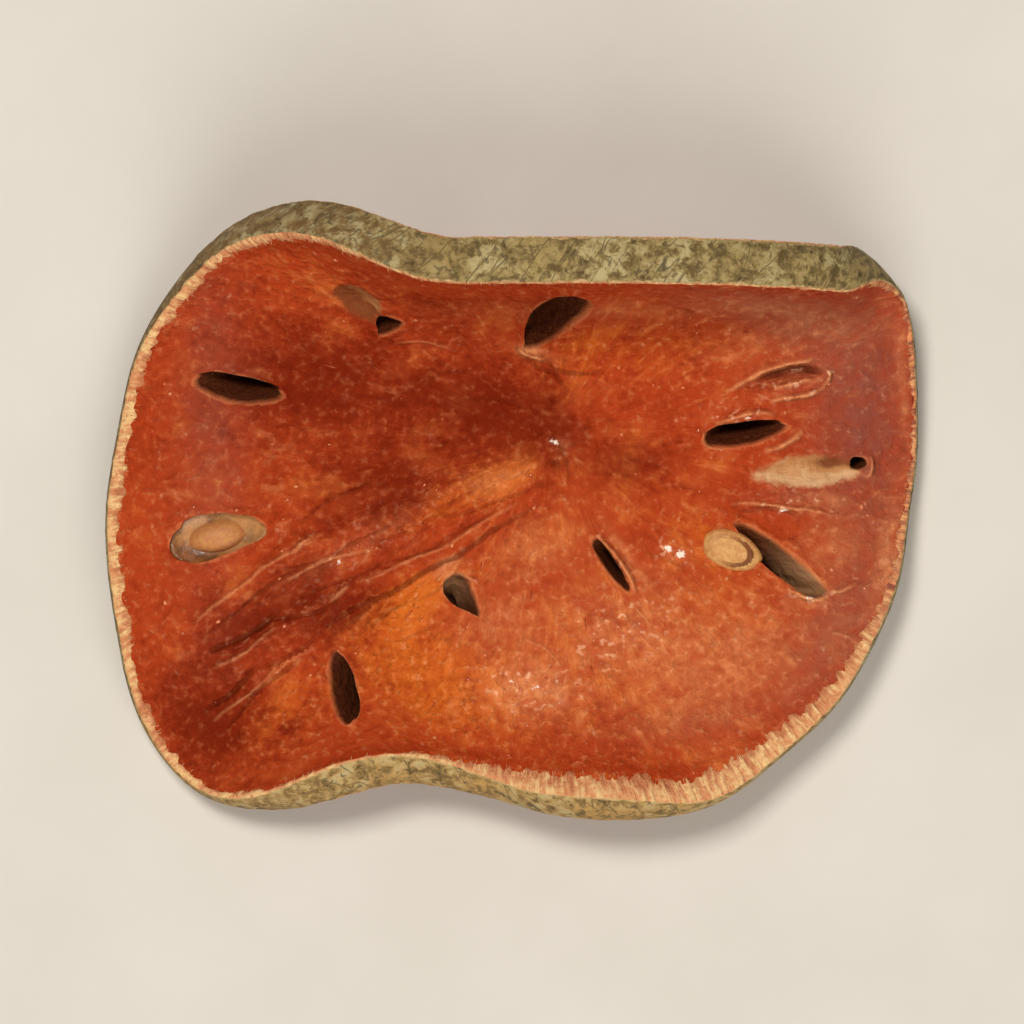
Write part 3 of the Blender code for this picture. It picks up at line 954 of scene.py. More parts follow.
def mix(factor, a, b):
    """Two colours mixed by a factor."""
    return factor.through("ShaderNodeMix", {0: factor, 6: a, 7: b}, 2, data_type="RGBA")


def colour(red, green, blue):
    """An sRGB colour, 0 to 255, as the linear colour that a socket takes."""
    shares = [part / 255 for part in (red, green, blue)]
    linear = [p / 12.92 if p <= 0.04045 else ((p + 0.055) / 1.055) ** 2.4 for p in shares]
    return (*linear, 1.0)


def bump(height, distance, strength=1.0, under=None):
    """A normal raised by a height, over an earlier bump where one is given."""
    inputs = {"Height": height, "Distance": distance * MM, "Strength": strength}
    if under is not None:
        inputs["Normal"] = under
    return height.through("ShaderNodeBump", inputs)


def new_material(name, constants):
    """A material with one Principled shader, whose constant values are set on its own sockets."""
    made = bpy.data.materials.new(name)
    made.use_nodes = True
    shader = next(n for n in made.node_tree.nodes if n.type == "BSDF_PRINCIPLED")
    for label, value in constants.items():
        shader.inputs[label].default_value = value
    return made, shader


def finish_shader(shader, **values):
    """Link amounts to a shader's sockets, whose labels are written with _ for each space."""
    for label, value in values.items():
        shader.id_data.links.new(value.socket, shader.inputs[label.replace("_", " ")])


def read_attributes(shader, output, labels):
    """One output of each of some vertex attributes."""
    tree, kind = shader.id_data, "ShaderNodeAttribute"
    settings = {"output": output, "attribute_type": "GEOMETRY"}
    return [node(tree, kind, attribute_name=label, **settings) for label in labels]


def read_places(shader, *labels):
    """Vertex attributes that hold a place each."""
    return read_attributes(shader, "Vector", labels)


def read_weights(shader, *labels):
    """Vertex attributes that hold a number each."""
    return read_attributes(shader, "Fac", labels)


def object_place(shader):
    """A piece's own coordinates, in metres."""
    return node(shader.id_data, "ShaderNodeTexCoord", output="Object")


PULP_RED = colour(172, 62, 26)
PULP_ORANGE = colour(206, 102, 31)
PULP_DEEP = colour(114, 29, 9)
# Pale flesh, and painted highlights.
PULP_PALE_AND_HIGHLIGHT = colour(226, 146, 94)
PULP_BRUISE = colour(142, 75, 60)
# Dark veins, and painted shade in the sunken lines.
PULP_VEIN_AND_CREASE_SHADE = colour(84, 30, 10)
# Painted glints and painted highlights.
PULP_GLINT = colour(252, 196, 156)
PULP_GLEAM_HIGHLIGHT = colour(255, 236, 222)
SHEEN_TONE = colour(255, 214, 176)
FILM_BROWN = colour(116, 66, 36)
FILM_TAN = colour(184, 132, 82)
FILM_CREAM = colour(219, 179, 132)
# Painted shade down the cell walls, dark to brown, and painted light where the walls are tan.
CELL_WALL_SHADE_DARK = colour(46, 15, 9)
CELL_WALL_SHADE_BROWN = colour(80, 38, 18)
CELL_WALL_LIT_TAN = colour(152, 114, 80)


def line_marks(shader, lay):
    """How strongly a point lies on a sunken line, and how strongly on a raised one."""
    crooked = noise(lay, 0.6, 2.0) * 0.3 - 0.15
    sunk = raised = 0.0
    for sheet in read_places(shader, *(f"lines_{k}" for k in range(LINE_SHEETS))):
        away, strength, depth = parts(sheet)
        core = spread(abs(away + crooked), 0.32, 0.0) * strength.maths("MINIMUM", 1.4)
        low = core * depth.maths("GREATER_THAN", 0.0)
        sunk = low.maths("MAXIMUM", sunk)
        raised = (core - low).maths("MAXIMUM", raised)
    return sunk, raised


def flesh(curds, flecks, fibres, broad, spots):
    """The flesh's colours: orange, dark, bruised and pale by its spots and broken up by its grain, with
    painted highlights in some pale spots and round the open cells, and painted shade in the dark spots at
    the pits.
    """
    warm, deep, bruise, pale, calm, lip = spots
    heat = warm + spread(curds, 0.3, 0.7, -0.15, 0.18) + spread(fibres, 0.3, 0.7, -0.12, 0.14)
    heat += spread(broad, 0.5, 0.7, 0.0, 0.3)
    base = mix(spread(heat, 0.0, 1.0), PULP_RED, PULP_ORANGE)
    dark = spread(flecks, 0.58, 0.34, -0.08, 0.2) + spread(fibres, 0.52, 0.28, -0.04, 0.24)
    dark = (dark + spread(broad, 0.65, 0.35, -0.15, 0.2)) * calm + deep
    base = mix(spread(dark, 0.0, 1.0, 0.0, 0.97), base, PULP_DEEP)
    base = mix(bruise * spread(curds, 0.25, 0.65, 0.5, 1.0), base, PULP_BRUISE)
    light = pale * spread(curds, 0.3, 0.65, 0.3, 1.0) + spread(fibres, 0.56, 0.78, 0.0, 0.35)
    light += spread(broad, 0.52, 0.7, 0.0, 0.07)
    light += spread(flecks, 0.54, 0.72) * (warm * 0.35 + 0.25)
    # Painted highlights: a pale ring round the edges of the open cells.
    rim = lip + spread(curds, 0.3, 0.7, -0.2, 0.25)
    light = light * calm + spread(rim, 0.28, 0.02, 0.0, 0.28)
    base = mix(light.maths("MINIMUM", 0.85), base, PULP_PALE_AND_HIGHLIGHT)
    veins = spread(abs(fibres - 0.5), 0.03, 0.0) * spread(curds, 0.4, 0.6)
    return mix(veins * (warm * 0.4 + 0.2), base, PULP_VEIN_AND_CREASE_SHADE)


def filmed(base, curds, fibres, film, tone):
    """Skins of dried gum over the flesh, from brown through tan to cream."""
    skinned = spread(film + spread(curds, 0.3, 0.7, -0.14, 0.14), 1.1, 0.7)
    tone += spread(fibres, 0.3, 0.7, -0.2, 0.2)
    skin = mix(spread(tone, 0.0, 0.5), FILM_BROWN, FILM_TAN)
    skin = mix(spread(tone, 0.5, 1.0), skin, FILM_CREAM)
    return mix(skinned * 0.85, base, skin)


def pulp_material():
    """Dried pulp: red, sticky and a little translucent, with curdled specks and fibres from the core,
    painted glints and highlights, and painted shade in its creases, pits and cell walls.
    """
    constants = {
        "Subsurface Weight": 0.2,
        "Subsurface Radius": (1.0, 0.35, 0.15),
        "Subsurface Scale": 0.5 * MM,
        "IOR": 1.45,
        "Specular Tint": SHEEN_TONE,
    }
    made, shader = new_material("dried_pulp", constants)
    lay, spokes = read_places(shader, "lay", "spoke")
    warm, deep, bruise, pale, lip = read_weights(shader, "warm", "deep", "bruise", "pale", "lip")
    glaze, gleam, wall_shade, tan = read_weights(shader, "glaze", "gleam", "wall_shade", "tan")
    curds = noise(lay, 0.7, 5.0, 0.62, 0.3)
    flecks = noise(lay, 1.4, 3.0, 0.6)
    grain = noise(lay, 3.8, 3.0, 0.65)
    broad = noise(lay, 0.22, 3.0, 0.6)
    glint_specks = noise(lay, 1.5, 1.0, 0.5)
    outward = spread(parts(spokes)[2], 0.4, 3.5, 0.25, 1.0)
    fibres = (noise(spokes, 1.3, 4.0, 0.6, 0.25) - 0.5) * outward + 0.5

    calm = 1.0 - deep * 0.6
    base = flesh(curds, flecks, fibres, broad, (warm, deep, bruise, pale, calm, lip))
    base = filmed(base, curds, fibres, *read_weights(shader, "film", "tone"))
    sunk, raised = line_marks(shader, lay)
    # Painted shade in the sunken lines, and painted highlights on the raised ones.
    base = mix(sunk * 0.6, base, PULP_VEIN_AND_CREASE_SHADE)
    base = mix(raised * spread(flecks, 0.3, 0.6, 0.25, 0.6), base, PULP_PALE_AND_HIGHLIGHT)

    wet = glaze * spread(glint_specks, 0.4, 0.65, 0.15, 1.0) + spread(curds, 0.5, 0.7, 0.0, 0.4) * calm
    wet = (wet + raised * 0.6 + gleam * 0.6).maths("MINIMUM", 1.0)
    # Painted glints where the pulp is wet, and painted highlights at the gleam spots.
    base = mix(wet * spread(glint_specks, 0.62, 0.7) * (0.55 - deep * 0.5), base, PULP_GLINT)
    base = mix(spread(grain * 1.1 + gleam, 1.1, 1.3) * 0.9, base, PULP_GLEAM_HIGHLIGHT)

    # Painted shade down the cell walls, and painted light on their tan parts.
    wall_light_and_shade = mix(spread(grain, 0.3, 0.7), CELL_WALL_SHADE_DARK, CELL_WALL_SHADE_BROWN)
    wall_light_and_shade = mix(tan, wall_light_and_shade, CELL_WALL_LIT_TAN)
    base = mix(wall_shade * 0.95, base, wall_light_and_shade)
    wet *= 1.0 - wall_shade
    relief = curds * 0.35 + fibres * 0.3 + flecks * 0.16 + grain * 0.05 + (raised - sunk) * 0.22
    finish_shader(shader, Base_Color=base, Roughness=0.62 - wet * 0.42, Normal=bump(relief, 1.0))
    finish_shader(shader, Specular_IOR_Level=wet * 0.65 + calm * 0.1)
    return made


RIND_OLIVE = colour(160, 138, 86)
RIND_PALE = colour(186, 174, 128)
RIND_DARK = colour(98, 80, 44)
RIND_BROWN = colour(116, 82, 44)
RIND_SPECK = colour(62, 48, 28)
RIND_SCUFF = colour(200, 184, 138)
RIND_STRAW = colour(200, 152, 85)
CRACK_SLANT = 0.6
CRACK_STRETCH = (1.0, 0.6, 0.12)
CUT_CREAM = colour(232, 192, 134)
CUT_PINK = colour(208, 136, 92)
CUT_BROWN = colour(158, 86, 50)


def outer_rind_material():
    """The hard outer rind: mottled olive and brown, with soft specks, scratches and scuffed edges."""
    made, shader = new_material("outer_rind", {"IOR": 1.45, "Specular IOR Level": 0.3})
    (lay,) = read_places(shader, "lay")
    edge, brown, straw = read_weights(shader, "edge", "brown", "straw")
    mottle = noise(lay, 0.8, 5.0, 0.68, 0.3)
    patch = noise(lay, 0.2, 3.0, 0.5)
    grain = noise(lay, 2.6, 5.0, 0.7)
    spots = noise(lay, 1.3, 2.0, 0.55, 0.5)
    inputs = {"Vector": lay, "Axis": (0.0, 1.0, 0.0), "Angle": CRACK_SLANT}
    slanted = lay.through("ShaderNodeVectorRotate", inputs, rotation_type="AXIS_ANGLE")
    cracks = noise(vectors("MULTIPLY", slanted, CRACK_STRETCH), 0.6, 2.0, 0.5, 0.3)
    scratches = spread(abs(cracks - 0.5), 0.022, 0.0) * spread(mottle, 0.44, 0.56)
    base = mix(spread(mottle, 0.36, 0.58), RIND_DARK, RIND_OLIVE)
    base = mix(brown * spread(mottle, 0.2, 0.7, 0.5, 1.0), base, RIND_BROWN)
    base = mix(straw * spread(mottle, 0.4, 0.6, 0.2, 0.8), base, RIND_STRAW)
    base = mix(spread(patch, 0.42, 0.6) * spread(mottle, 0.45, 0.62) * 0.7, base, RIND_PALE)
    base = mix(spread(grain, 0.54, 0.72, 0.0, 0.5), base, RIND_SCUFF)
    base = mix(spread(grain, 0.42, 0.3, 0.0, 0.65), base, RIND_SPECK)
    base = mix(spread(spots, 0.56, 0.66, 0.0, 0.6), base, RIND_SPECK)
    base = mix(scratches * 0.7, base, RIND_SPECK)
    worn = edge + spread(mottle, 0.3, 0.7, -0.2, 0.3)
    base = mix(spread(worn, 0.3, 0.04, 0.0, 0.65), base, CUT_CREAM)
    relief = mottle * 0.3 + grain * 0.12 - scratches * 0.06
    rough = spread(grain, 0.3, 0.7, 0.6, 0.85)
    finish_shader(shader, Base_Color=base, Roughness=rough, Normal=bump(relief, 1.0))
    return made


def cut_rind_material():
    """The cut face of the rind: dry, cream to pink, and torn into fine strands that point to the core."""
    made, shader = new_material("cut_rind", {"IOR": 1.4, "Specular IOR Level": 0.3})
    lay, spokes = read_places(shader, "lay", "spoke")
    across, pink = read_weights(shader, "across", "pink")
    strands = noise(spokes, 2.2, 3.0, 0.6, 0.2)
    tufts = noise(spokes, 0.55, 3.0, 0.6)
    fluff = noise(lay, 2.2, 4.0, 0.7)
    base = mix(spread(strands + fluff, 0.8, 1.2), CUT_PINK, CUT_CREAM)
    base = mix(spread(tufts, 0.54, 0.36, 0.0, 0.85), base, CUT_PINK)
    base = mix(spread(tufts, 0.42, 0.3, 0.0, 0.5), base, CUT_BROWN)
    base = mix(spread(fluff, 0.42, 0.3, 0.0, 0.45), base, CUT_BROWN)
    inner = across + spread(strands, 0.3, 0.7, -0.3, 0.3) + spread(tufts, 0.3, 0.7, -0.25, 0.25)
    base = mix(spread(inner, 0.6, -0.1, 0.0, 0.9), base, mix(strands, CUT_BROWN, CUT_PINK))
    fleshy = mix(spread(strands, 0.35, 0.65), PULP_BRUISE, PULP_PALE_AND_HIGHLIGHT)
    base = mix(pink * spread(tufts, 0.6, 0.4, 0.6, 1.0), base, fleshy)
    relief = strands * 0.35 + tufts * 0.35 + fluff * 0.12
    rough = spread(fluff, 0.3, 0.7, 0.7, 0.92)
    finish_shader(shader, Base_Color=base, Roughness=rough, Normal=bump(relief, 1.0))
    return made


GUM_AMBER = colour(150, 88, 42)
GUM_PALE = colour(218, 164, 104)
GUM_BROWN = colour(96, 52, 24)
GUM_PALENESS = {"left_low": 0.5}


def gum_material():
    """Gum dried to a clear amber skin, paler towards one side of each web."""
    constants = {
        "Subsurface Weight": 0.4,
        "Subsurface Radius": (1.0, 0.6, 0.3),
        "Subsurface Scale": 0.6 * MM,
        "Coat Weight": 0.15,
        "Coat Roughness": 0.2,
        "IOR": 1.45,
        "Specular IOR Level": 0.4,
    }
    made, shader = new_material("dried_gum", constants)
    lay, spokes = read_places(shader, "lay", "spoke")
    (pale,) = read_weights(shader, "pale")
    clouds = noise(lay, 0.7, 5.0, 0.6)
    grain = noise(spokes, 1.6, 4.0, 0.6)
    base = mix(spread(clouds, 0.35, 0.65), GUM_BROWN, GUM_AMBER)
    base = mix(spread(grain, 0.5, 0.3, 0.0, 0.4), base, GUM_BROWN)
    base = mix(pale * spread(clouds, 0.25, 0.6, 0.5, 1.0), base, GUM_PALE)
    relief = bump(grain, 0.06, 0.6, bump(clouds, 0.3, 0.6))
    finish_shader(shader, Base_Color=base, Roughness=spread(grain, 0.3, 0.7, 0.18, 0.45), Normal=relief)
    return made


SEED_TAN = colour(196, 136, 76)
SEED_KERNEL = colour(214, 164, 100)
SEED_RING = colour(128, 68, 32)
SEED_COAT = colour(186, 116, 72)
RING_CENTRE = (0.08, 0.05, 0.0)


def seed_material():
    """Seeds: a woolly tan coat, and rings of coat and kernel where one is cut."""
    made, shader = new_material("seed_coat", {"IOR": 1.45, "Specular IOR Level": 0.4})
    lay, place = read_places(shader, "lay", "place")
    (cut,) = read_weights(shader, "cut")
    grain = noise(lay, 2.2, 6.0, 0.65, 0.4)
    moved = vectors("ADD", vectors("MULTIPLY", place, (1.0, 1.0, 0.0)), RING_CENTRE)
    reach = moved.through("ShaderNodeVectorMath", {0: moved}, "Value", operation="LENGTH")
    reach += spread(grain, 0.3, 0.7, -0.04, 0.04)
    ring = spread(reach, 0.56, 0.64) * spread(reach, 0.78, 0.7)
    ring *= spread(parts(place)[0], -0.35, 0.45, 0.2, 1.0)
    kernel = mix(spread(grain, 0.4, 0.65), SEED_TAN, SEED_KERNEL)
    kernel = mix(ring, kernel, SEED_RING)
    coat = mix(spread(grain, 0.35, 0.65), SEED_COAT, SEED_TAN)
    relief = bump(ring * cut, -0.25, 0.9, bump(grain, 0.12, 0.7))
    rough = spread(grain, 0.3, 0.7, 0.4, 0.65)
    finish_shader(shader, Base_Color=mix(cut, coat, kernel), Roughness=rough, Normal=relief)
    return made


JUICE_DARK = colour(176, 70, 30)
JUICE_LIGHT = colour(222, 130, 80)
THREAD_LIGHT = colour(206, 108, 66)
THREAD_DARK = colour(150, 50, 26)
FLUFF_LIGHT = colour(226, 176, 122)
FLUFF_DARK = colour(196, 120, 80)


def bead_material():
    """Beads of dried juice that stand on the pulp."""
    constants = {
        "Coat Weight": 1.0,
        "Coat Roughness": 0.06,
        "IOR": 1.5,
        "Subsurface Weight": 0.3,
        "Subsurface Scale": 0.2 * MM,
    }
    made, shader = new_material("dried_juice", constants)
    place = object_place(shader)
    clouds = noise(place, 400.0, 3.0, 0.6)
    base = mix(spread(clouds, 0.35, 0.65), JUICE_DARK, JUICE_LIGHT)
    relief = bump(noise(place, 6000.0, 2.0), 0.02, 0.4)
    finish_shader(shader, Base_Color=base, Roughness=spread(clouds, 0.3, 0.7, 0.12, 0.3), Normal=relief)
    return made


def strand_material(name, light, dark):
    """Loose dry strands of pulp or rind."""
    made, shader = new_material(name, {"IOR": 1.45, "Specular IOR Level": 0.4})
    place = object_place(shader)
    clouds = noise(place, 500.0, 4.0, 0.6)
    base = mix(spread(clouds, 0.35, 0.65), light, dark)
    relief = bump(noise(place, 8000.0, 2.0), 0.02, 0.5)
    finish_shader(shader, Base_Color=base, Roughness=spread(clouds, 0.3, 0.7, 0.35, 0.6), Normal=relief)
    return made


def new_tree(name, *sizes):
    """An empty Geometry Nodes tree, and its named inputs."""
    tree = bpy.data.node_groups.new(name, "GeometryNodeTree")
    kinds = {"Geometry": "Geometry", **dict.fromkeys(sizes, "Float"), "Seed": "Int", "Finish": "Material"}
    for label, kind in kinds.items():
        tree.interface.new_socket(label, in_out="INPUT", socket_type=f"NodeSocket{kind}")
    tree.interface.new_socket("Geometry", in_out="OUTPUT", socket_type="NodeSocketGeometry")
    start = tree.nodes.new("NodeGroupInput").outputs
    return tree, {label: Amount(start[label]) for label in kinds}


def end_tree(shape, finish, rounded=True):
    """Make a shape's copies real, shade them smooth, and hand it out with its material."""
    tree = shape.socket.id_data
    shape = shape.through("GeometryNodeRealizeInstances", {0: shape})
    if rounded:
        shape = shape.through("GeometryNodeSetShadeSmooth", {0: shape})
    shape = shape.through("GeometryNodeSetMaterial", {"Geometry": shape, "Material": finish})
    tree.links.new(shape.socket, tree.nodes.new("NodeGroupOutput").inputs[0])
    return tree


def grow(host, tree, **values):
    """The plain mesh that a tree makes of a host object, whose modifier goes again."""
    modifier = host.modifiers.new(tree.name, "NODES")
    modifier.node_group = tree
    for item in tree.interface.items_tree:
        if item.in_out == "INPUT" and item.name in values:
            modifier[item.identifier] = values[item.name]
    graph = bpy.context.evaluated_depsgraph_get()
    evaluated = host.evaluated_get(graph)
    mesh = bpy.data.meshes.new_from_object(evaluated, preserve_all_data_layers=True, depsgraph=graph)
    host.modifiers.remove(modifier)
    mesh.name = tree.name
    return mesh


def named(tree, label, kind="FLOAT"):
    """A vertex attribute in a Geometry Nodes tree."""
    return node(tree, "GeometryNodeInputNamedAttribute", {"Name": label}, data_type=kind)


def scatter(tree, start, label):
    """Points on a surface by the weight of one of its attributes, with their normals and turns."""
    density = named(tree, label) * start["Density"]
    inputs = {"Mesh": start["Geometry"], "Density": density, "Seed": start["Seed"]}
    points = node(tree, "GeometryNodeDistributePointsOnFaces", inputs)
    return outputs(points, "Points", "Normal", "Rotation")


def stand(points, copied, turn, size):
    """A copy of a shape at each point."""
    inputs = {"Points": points, "Instance": copied, "Rotation": turn, "Scale": size}
    return points.through("GeometryNodeInstanceOnPoints", inputs)


def any_size(tree, low, high, seed):
    """A random size for each copy."""
    inputs = {2: low, 3: high, "Seed": seed}
    return node(tree, "FunctionNodeRandomValue", inputs, 1, data_type="FLOAT")


def wrinkle_tree():
    """Fine wrinkles: the surface moves along its normal by noise over the flat place and the fibres."""
    tree, start = new_tree("wrinkles", "Height", "Spacing", "Strand Height", "Strand Spacing")
    lay, spokes = (named(tree, label, "FLOAT_VECTOR") for label in ("lay", "spoke"))
    curds = noise(lay, 1.0 / start["Spacing"], 3.0, 0.55, 0.6)
    strands = noise(spokes, 1.0 / start["Strand Spacing"], 2.0, 0.5, 0.3)
    lift = (curds - 0.5) * start["Height"] + (strands - 0.5) * start["Strand Height"]
    offset = vectors("SCALE", node(tree, "GeometryNodeInputNormal"), lift * named(tree, "loose"))
    moved = node(tree, "GeometryNodeSetPosition", {"Geometry": start["Geometry"], "Offset": offset})
    return end_tree(moved, start["Finish"], rounded=False)


def bead_tree():
    """Small flattened beads, scattered on a surface by the weight of one of its attributes."""
    tree, start = new_tree("juice_beads", "Density", "Smallest", "Largest")
    points, _, turn = scatter(tree, start, "beaded")
    size = any_size(tree, start["Smallest"], start["Largest"], start["Seed"])
    size *= size
    shape = node(tree, "ShaderNodeCombineXYZ", {0: size, 1: size * 0.7, 2: size * 0.45})
    ball = node(tree, "GeometryNodeMeshIcoSphere", {"Radius": 1.0, "Subdivisions": 1})
    return end_tree(stand(points, ball, turn, shape), start["Finish"])


def strand_tree():
    """Short tapered strands that lie on a surface along one of its attributes, each turned a little."""
    tree, start = new_tree("strands", "Density", "Length", "Thickness", "Lift", "Stray")
    points, normal, _ = scatter(tree, start, "stranded")
    inputs = {0: (-1.0, -1.0, -1.0), 1: (1.0, 1.0, 1.0), "Seed": start["Seed"]}
    astray = node(tree, "FunctionNodeRandomValue", inputs, data_type="FLOAT_VECTOR")
    along = named(tree, "along", "FLOAT_VECTOR")
    points_to = vectors("ADD", along, vectors("SCALE", astray, start["Stray"]))
    points_to = vectors("ADD", points_to, vectors("SCALE", normal, start["Lift"]))
    turn = node(tree, "FunctionNodeAlignRotationToVector", {"Vector": points_to}, axis="Z")
    sizes = {"Radius Top": 0.0, "Radius Bottom": start["Thickness"], "Depth": start["Length"]}
    cone = node(tree, "GeometryNodeMeshCone", {"Vertices": 4, "Side Segments": 3, **sizes})
    size = any_size(tree, 0.45, 1.0, start["Seed"])
    return end_tree(stand(points, cone, turn, size), start["Finish"])


def fibre_heading(flat):
    """Direction of the fibres on the bent slice: straight out from the core."""
    u, v, _ = flat.T
    reach = np.maximum(np.hypot(u, v), 0.01)[:, None]
    out = flat * (1.0, 1.0, 0.0) / reach
    tip = bend(flat + out * 0.2) - bend(flat)
    return tip / np.linalg.norm(tip, axis=1, keepdims=True)


def wrinkled(name, flat, faces, attributes, wrinkles, sizes, finish):
    """A bent piece with fine wrinkles over it."""
    piece = show(name, new_mesh(name, bend(flat), faces, attributes))
    piece.data = grow(piece, wrinkles, Seed=SEED, Finish=finish, **sizes)
    return piece


def make_pulp(wrinkles):
    """The pulp with its cells, folds and creases."""
    flat, faces, wall_shade = flat_pulp()
    u, v, w = flat.T
    within = past_rind(u, v)
    near_cell = np.zeros(len(u))
    for *oval, _ in CELLS.values():
        away = np.maximum(off_oval(u, v, *oval), 0.0) / CELL_CALM_REACH
        near_cell = np.maximum(near_cell, np.exp(-(away**2)))
    upper = smooth(0.2, 0.6, w)
    attributes = {label: patches(flat, spots) for label, spots in SPOTS.items()}
    glaze, deep = attributes["glaze"], attributes["deep"]
    # The pale spots with their painted highlights, the glaze and the painted gleam lie on the upper face
    # only.
    for label in ("pale", "glaze", "gleam"):
        attributes[label] = attributes[label] * upper
    off_cells = [off_oval(u, v, *oval) for *oval, filling in CELLS.values() if filling != "skin"]
    reach, tone = films(u, v)
    beaded = (BEAD_SHARE + glaze) * upper * smooth(0.5, 1.5, within)
    stranded = (THREAD_SHARE + (1.0 - THREAD_SHARE) * glaze) * upper * smooth(0.5, 2.0, within)
    attributes |= {
        "lay": flat,
        "spoke": spoke_place(flat, *PULP_SPOKES),
        "wall_shade": wall_shade,
        "lip": np.minimum.reduce(off_cells),
        "film": reach + (1.0 - upper) * FAR_AWAY,
        "tone": tone,
        "loose": smooth(-0.2, 1.0, within) * (1.0 - 0.6 * near_cell),
        "beaded": beaded * (1.0 - near_cell) * (1.0 - 0.8 * deep),
        "stranded": stranded * (1.0 - near_cell) * (1.0 - 0.7 * deep),
        "along": fibre_heading(flat),
    }
    for k, sheet in enumerate(line_sheets()):
        attributes[f"lines_{k}"] = np.stack(nearest_line(u, v, sheet), axis=1)
    return wrinkled("pulp", flat, faces, attributes, wrinkles, PULP_WRINKLES, pulp_material())


def make_rind(wrinkles):
    """The rind with its cut faces and outer wall."""
    flat, faces, finish = flat_rind()
    u, v, w = flat.T
    angle = np.arctan2(v, u)
    across = (np.hypot(u, v) - rim_radius(angle) + rind_width(angle)) / rind_width(angle)
    attributes = {
        "lay": flat,
        "spoke": spoke_place(flat, *RIND_SPOKES),
        "edge": RIND_THICKNESS / 2 - np.abs(w),
        "across": across,
        "brown": 0.8 * smooth(-4.0, -22.0, u) * smooth(-24.0, -10.0, v),
        "straw": smooth(-20.0, -28.0, v),
        "pink": smooth(25.0, 30.0, u) * smooth(-19.0, -13.0, v),
        "loose": np.where(np.abs(w) > 0.95, 1.0, 0.0),
        "stranded": smooth(-0.1, 0.1, across) * (1.0 - smooth(0.3, 0.8, across)) * smooth(1.7, 1.8, w),
        "along": -fibre_heading(flat),
    }
    piece = wrinkled("rind", flat, faces, attributes, wrinkles, RIND_WRINKLES, cut_rind_material())
    piece.data.materials.append(outer_rind_material())
    piece.data.polygons.foreach_set("material_index", finish)
    return piece


def joined(bodies):
    """Several bodies, each of flat points and faces, as one."""
    flat, faces, first = [], [], 0
    for points, made in bodies:
        flat.append(points)
        faces.extend(tuple(first + k for k in face) for face in made)
        first += len(points)
    return np.concatenate(flat), faces


def make_gum():
    """Webs of dried gum across the seed cells that still hold a seed."""
    rng = np.random.default_rng(SEED + 2)
    bodies, pale = [], []
    for name, (*oval, filling) in CELLS.items():
        if filling != "gum":
            continue
        flat, faces = flat_web(oval, rng)
        bodies.append((flat, faces))
        along, aside = oval_place(*flat.T[:2], *oval[:5])
        pale.append(GUM_PALENESS[name] * (1.0 - 0.9 * smooth(0.1, 1.1, 0.7 * along + 0.8 * aside)))
    flat, faces = joined(bodies)
    attributes = {"lay": flat, "spoke": spoke_place(flat, *GUM_SPOKES), "pale": np.concatenate(pale)}
    mesh = new_mesh("gum_webs", bend(flat), faces, attributes)
    mesh.materials.append(gum_material())
    return show("gum_webs", mesh)


def make_seeds():
    """The seeds that are left in the cells."""
    bodies, within, cut = [], [], []
    for name, shape in SEEDS.items():
        flat, faces, place = flat_seed(*shape)
        bodies.append((flat, faces))
        within.append(place)
        cut.append(np.full(len(flat), 1.0 if name == CUT_SEED else 0.0))
    flat, faces = joined(bodies)
    attributes = {"lay": flat, "place": np.concatenate(within), "cut": np.concatenate(cut)}
    mesh = new_mesh("seeds", bend(flat), faces, attributes)
    mesh.materials.append(seed_material())
    return show("seeds", mesh)


def make_extras(pulp, rind):
    """Beads of juice and loose strands on the pulp, and the fringe of the cut rind."""
    strands = strand_tree()
    beads = grow(pulp, bead_tree(), Seed=SEED, Finish=bead_material(), **BEADS)
    finish = strand_material("pulp_threads", THREAD_LIGHT, THREAD_DARK)
    threads = grow(pulp, strands, Seed=SEED + 3, Finish=finish, **THREADS)
    finish = strand_material("rind_fluff", FLUFF_LIGHT, FLUFF_DARK)
    fringe = grow(rind, strands, Seed=SEED + 4, Finish=finish, **FRINGE)
    return show("juice_beads", beads), show("pulp_threads", threads), show("rind_fringe", fringe)


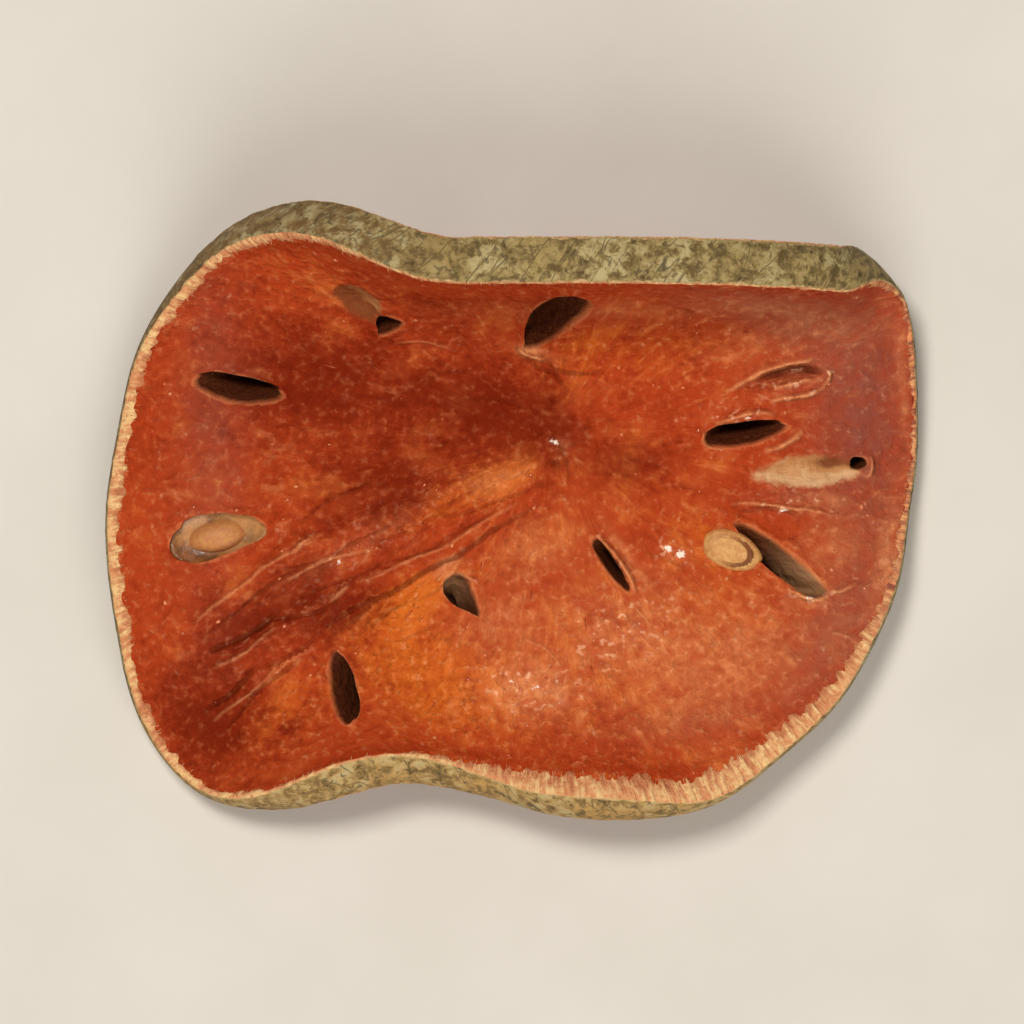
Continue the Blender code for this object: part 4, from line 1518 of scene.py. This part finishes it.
def make_floor():
    """A plain pale table top."""
    made, shader = new_material("table", {"IOR": 1.45})
    grain = noise(object_place(shader), 40.0, 4.0)
    base = mix(spread(grain, 0.3, 0.7), colour(*TABLE_DARK_TONE), colour(*TABLE_LIGHT_TONE))
    rough = spread(grain, 0.3, 0.7, 0.75, 0.85)
    finish_shader(shader, Base_Color=base, Roughness=rough, Normal=bump(grain, 0.02, 0.2))
    mesh = bpy.data.meshes.new("table")
    quarters = ((-1, -1), (1, -1), (1, 1), (-1, 1))
    corners = [(x * TABLE_REACH, y * TABLE_REACH, -TABLE_DROP) for x, y in quarters]
    mesh.from_pydata(corners, [], [(0, 1, 2, 3)])
    mesh.materials.append(made)
    floor = show("table", mesh)


def make_light(name, place, size, power, tone):
    """A soft square light that faces the slice."""
    data = bpy.data.lights.new(name, "AREA")
    data.size = size
    data.energy = power
    data.color = tone
    lamp = show(name, data)
    lamp.location = place
    lamp.rotation_euler = (-Vector(place)).to_track_quat("-Z", "Y").to_euler()


def make_stage():
    """Floor, soft light, and a camera that looks straight down as the photograph does."""
    make_floor()
    for name, settings in LIGHTS.items():
        make_light(name, *settings)
    world = bpy.data.worlds.new("studio")
    world.use_nodes = True
    room = world.node_tree.nodes["Background"].inputs
    room["Color"].default_value = ROOM_TONE
    room["Strength"].default_value = ROOM_STRENGTH
    bpy.context.scene.world = world
    data = bpy.data.cameras.new("overhead_view")
    data.sensor_width = CAMERA_SENSOR
    data.lens = CAMERA_LENS
    camera = show("overhead_view", data)
    camera.location = (0.0, 0.0, CAMERA_HEIGHT)
    bpy.context.scene.camera = camera
    bpy.context.scene.view_settings.view_transform = "Standard"


def make_slice():
    """All pieces of the slice, in the frame's place."""
    wrinkles = wrinkle_tree()
    pulp, rind = make_pulp(wrinkles), make_rind(wrinkles)
    gum, seeds = make_gum(), make_seeds()
    lay_down([pulp, rind, gum, seeds])
    beads, threads, fringe = make_extras(pulp, rind)
    slots = {"pulp": (pulp, threads), "rind": (rind, fringe), "gum": (gum, beads), "seed": (seeds,)}
    for slot, pieces in slots.items():
        for piece in pieces:
            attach(piece, "root")
            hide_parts("bael_slice")


make_slice()
make_stage()
bpy.context.view_layer.update()
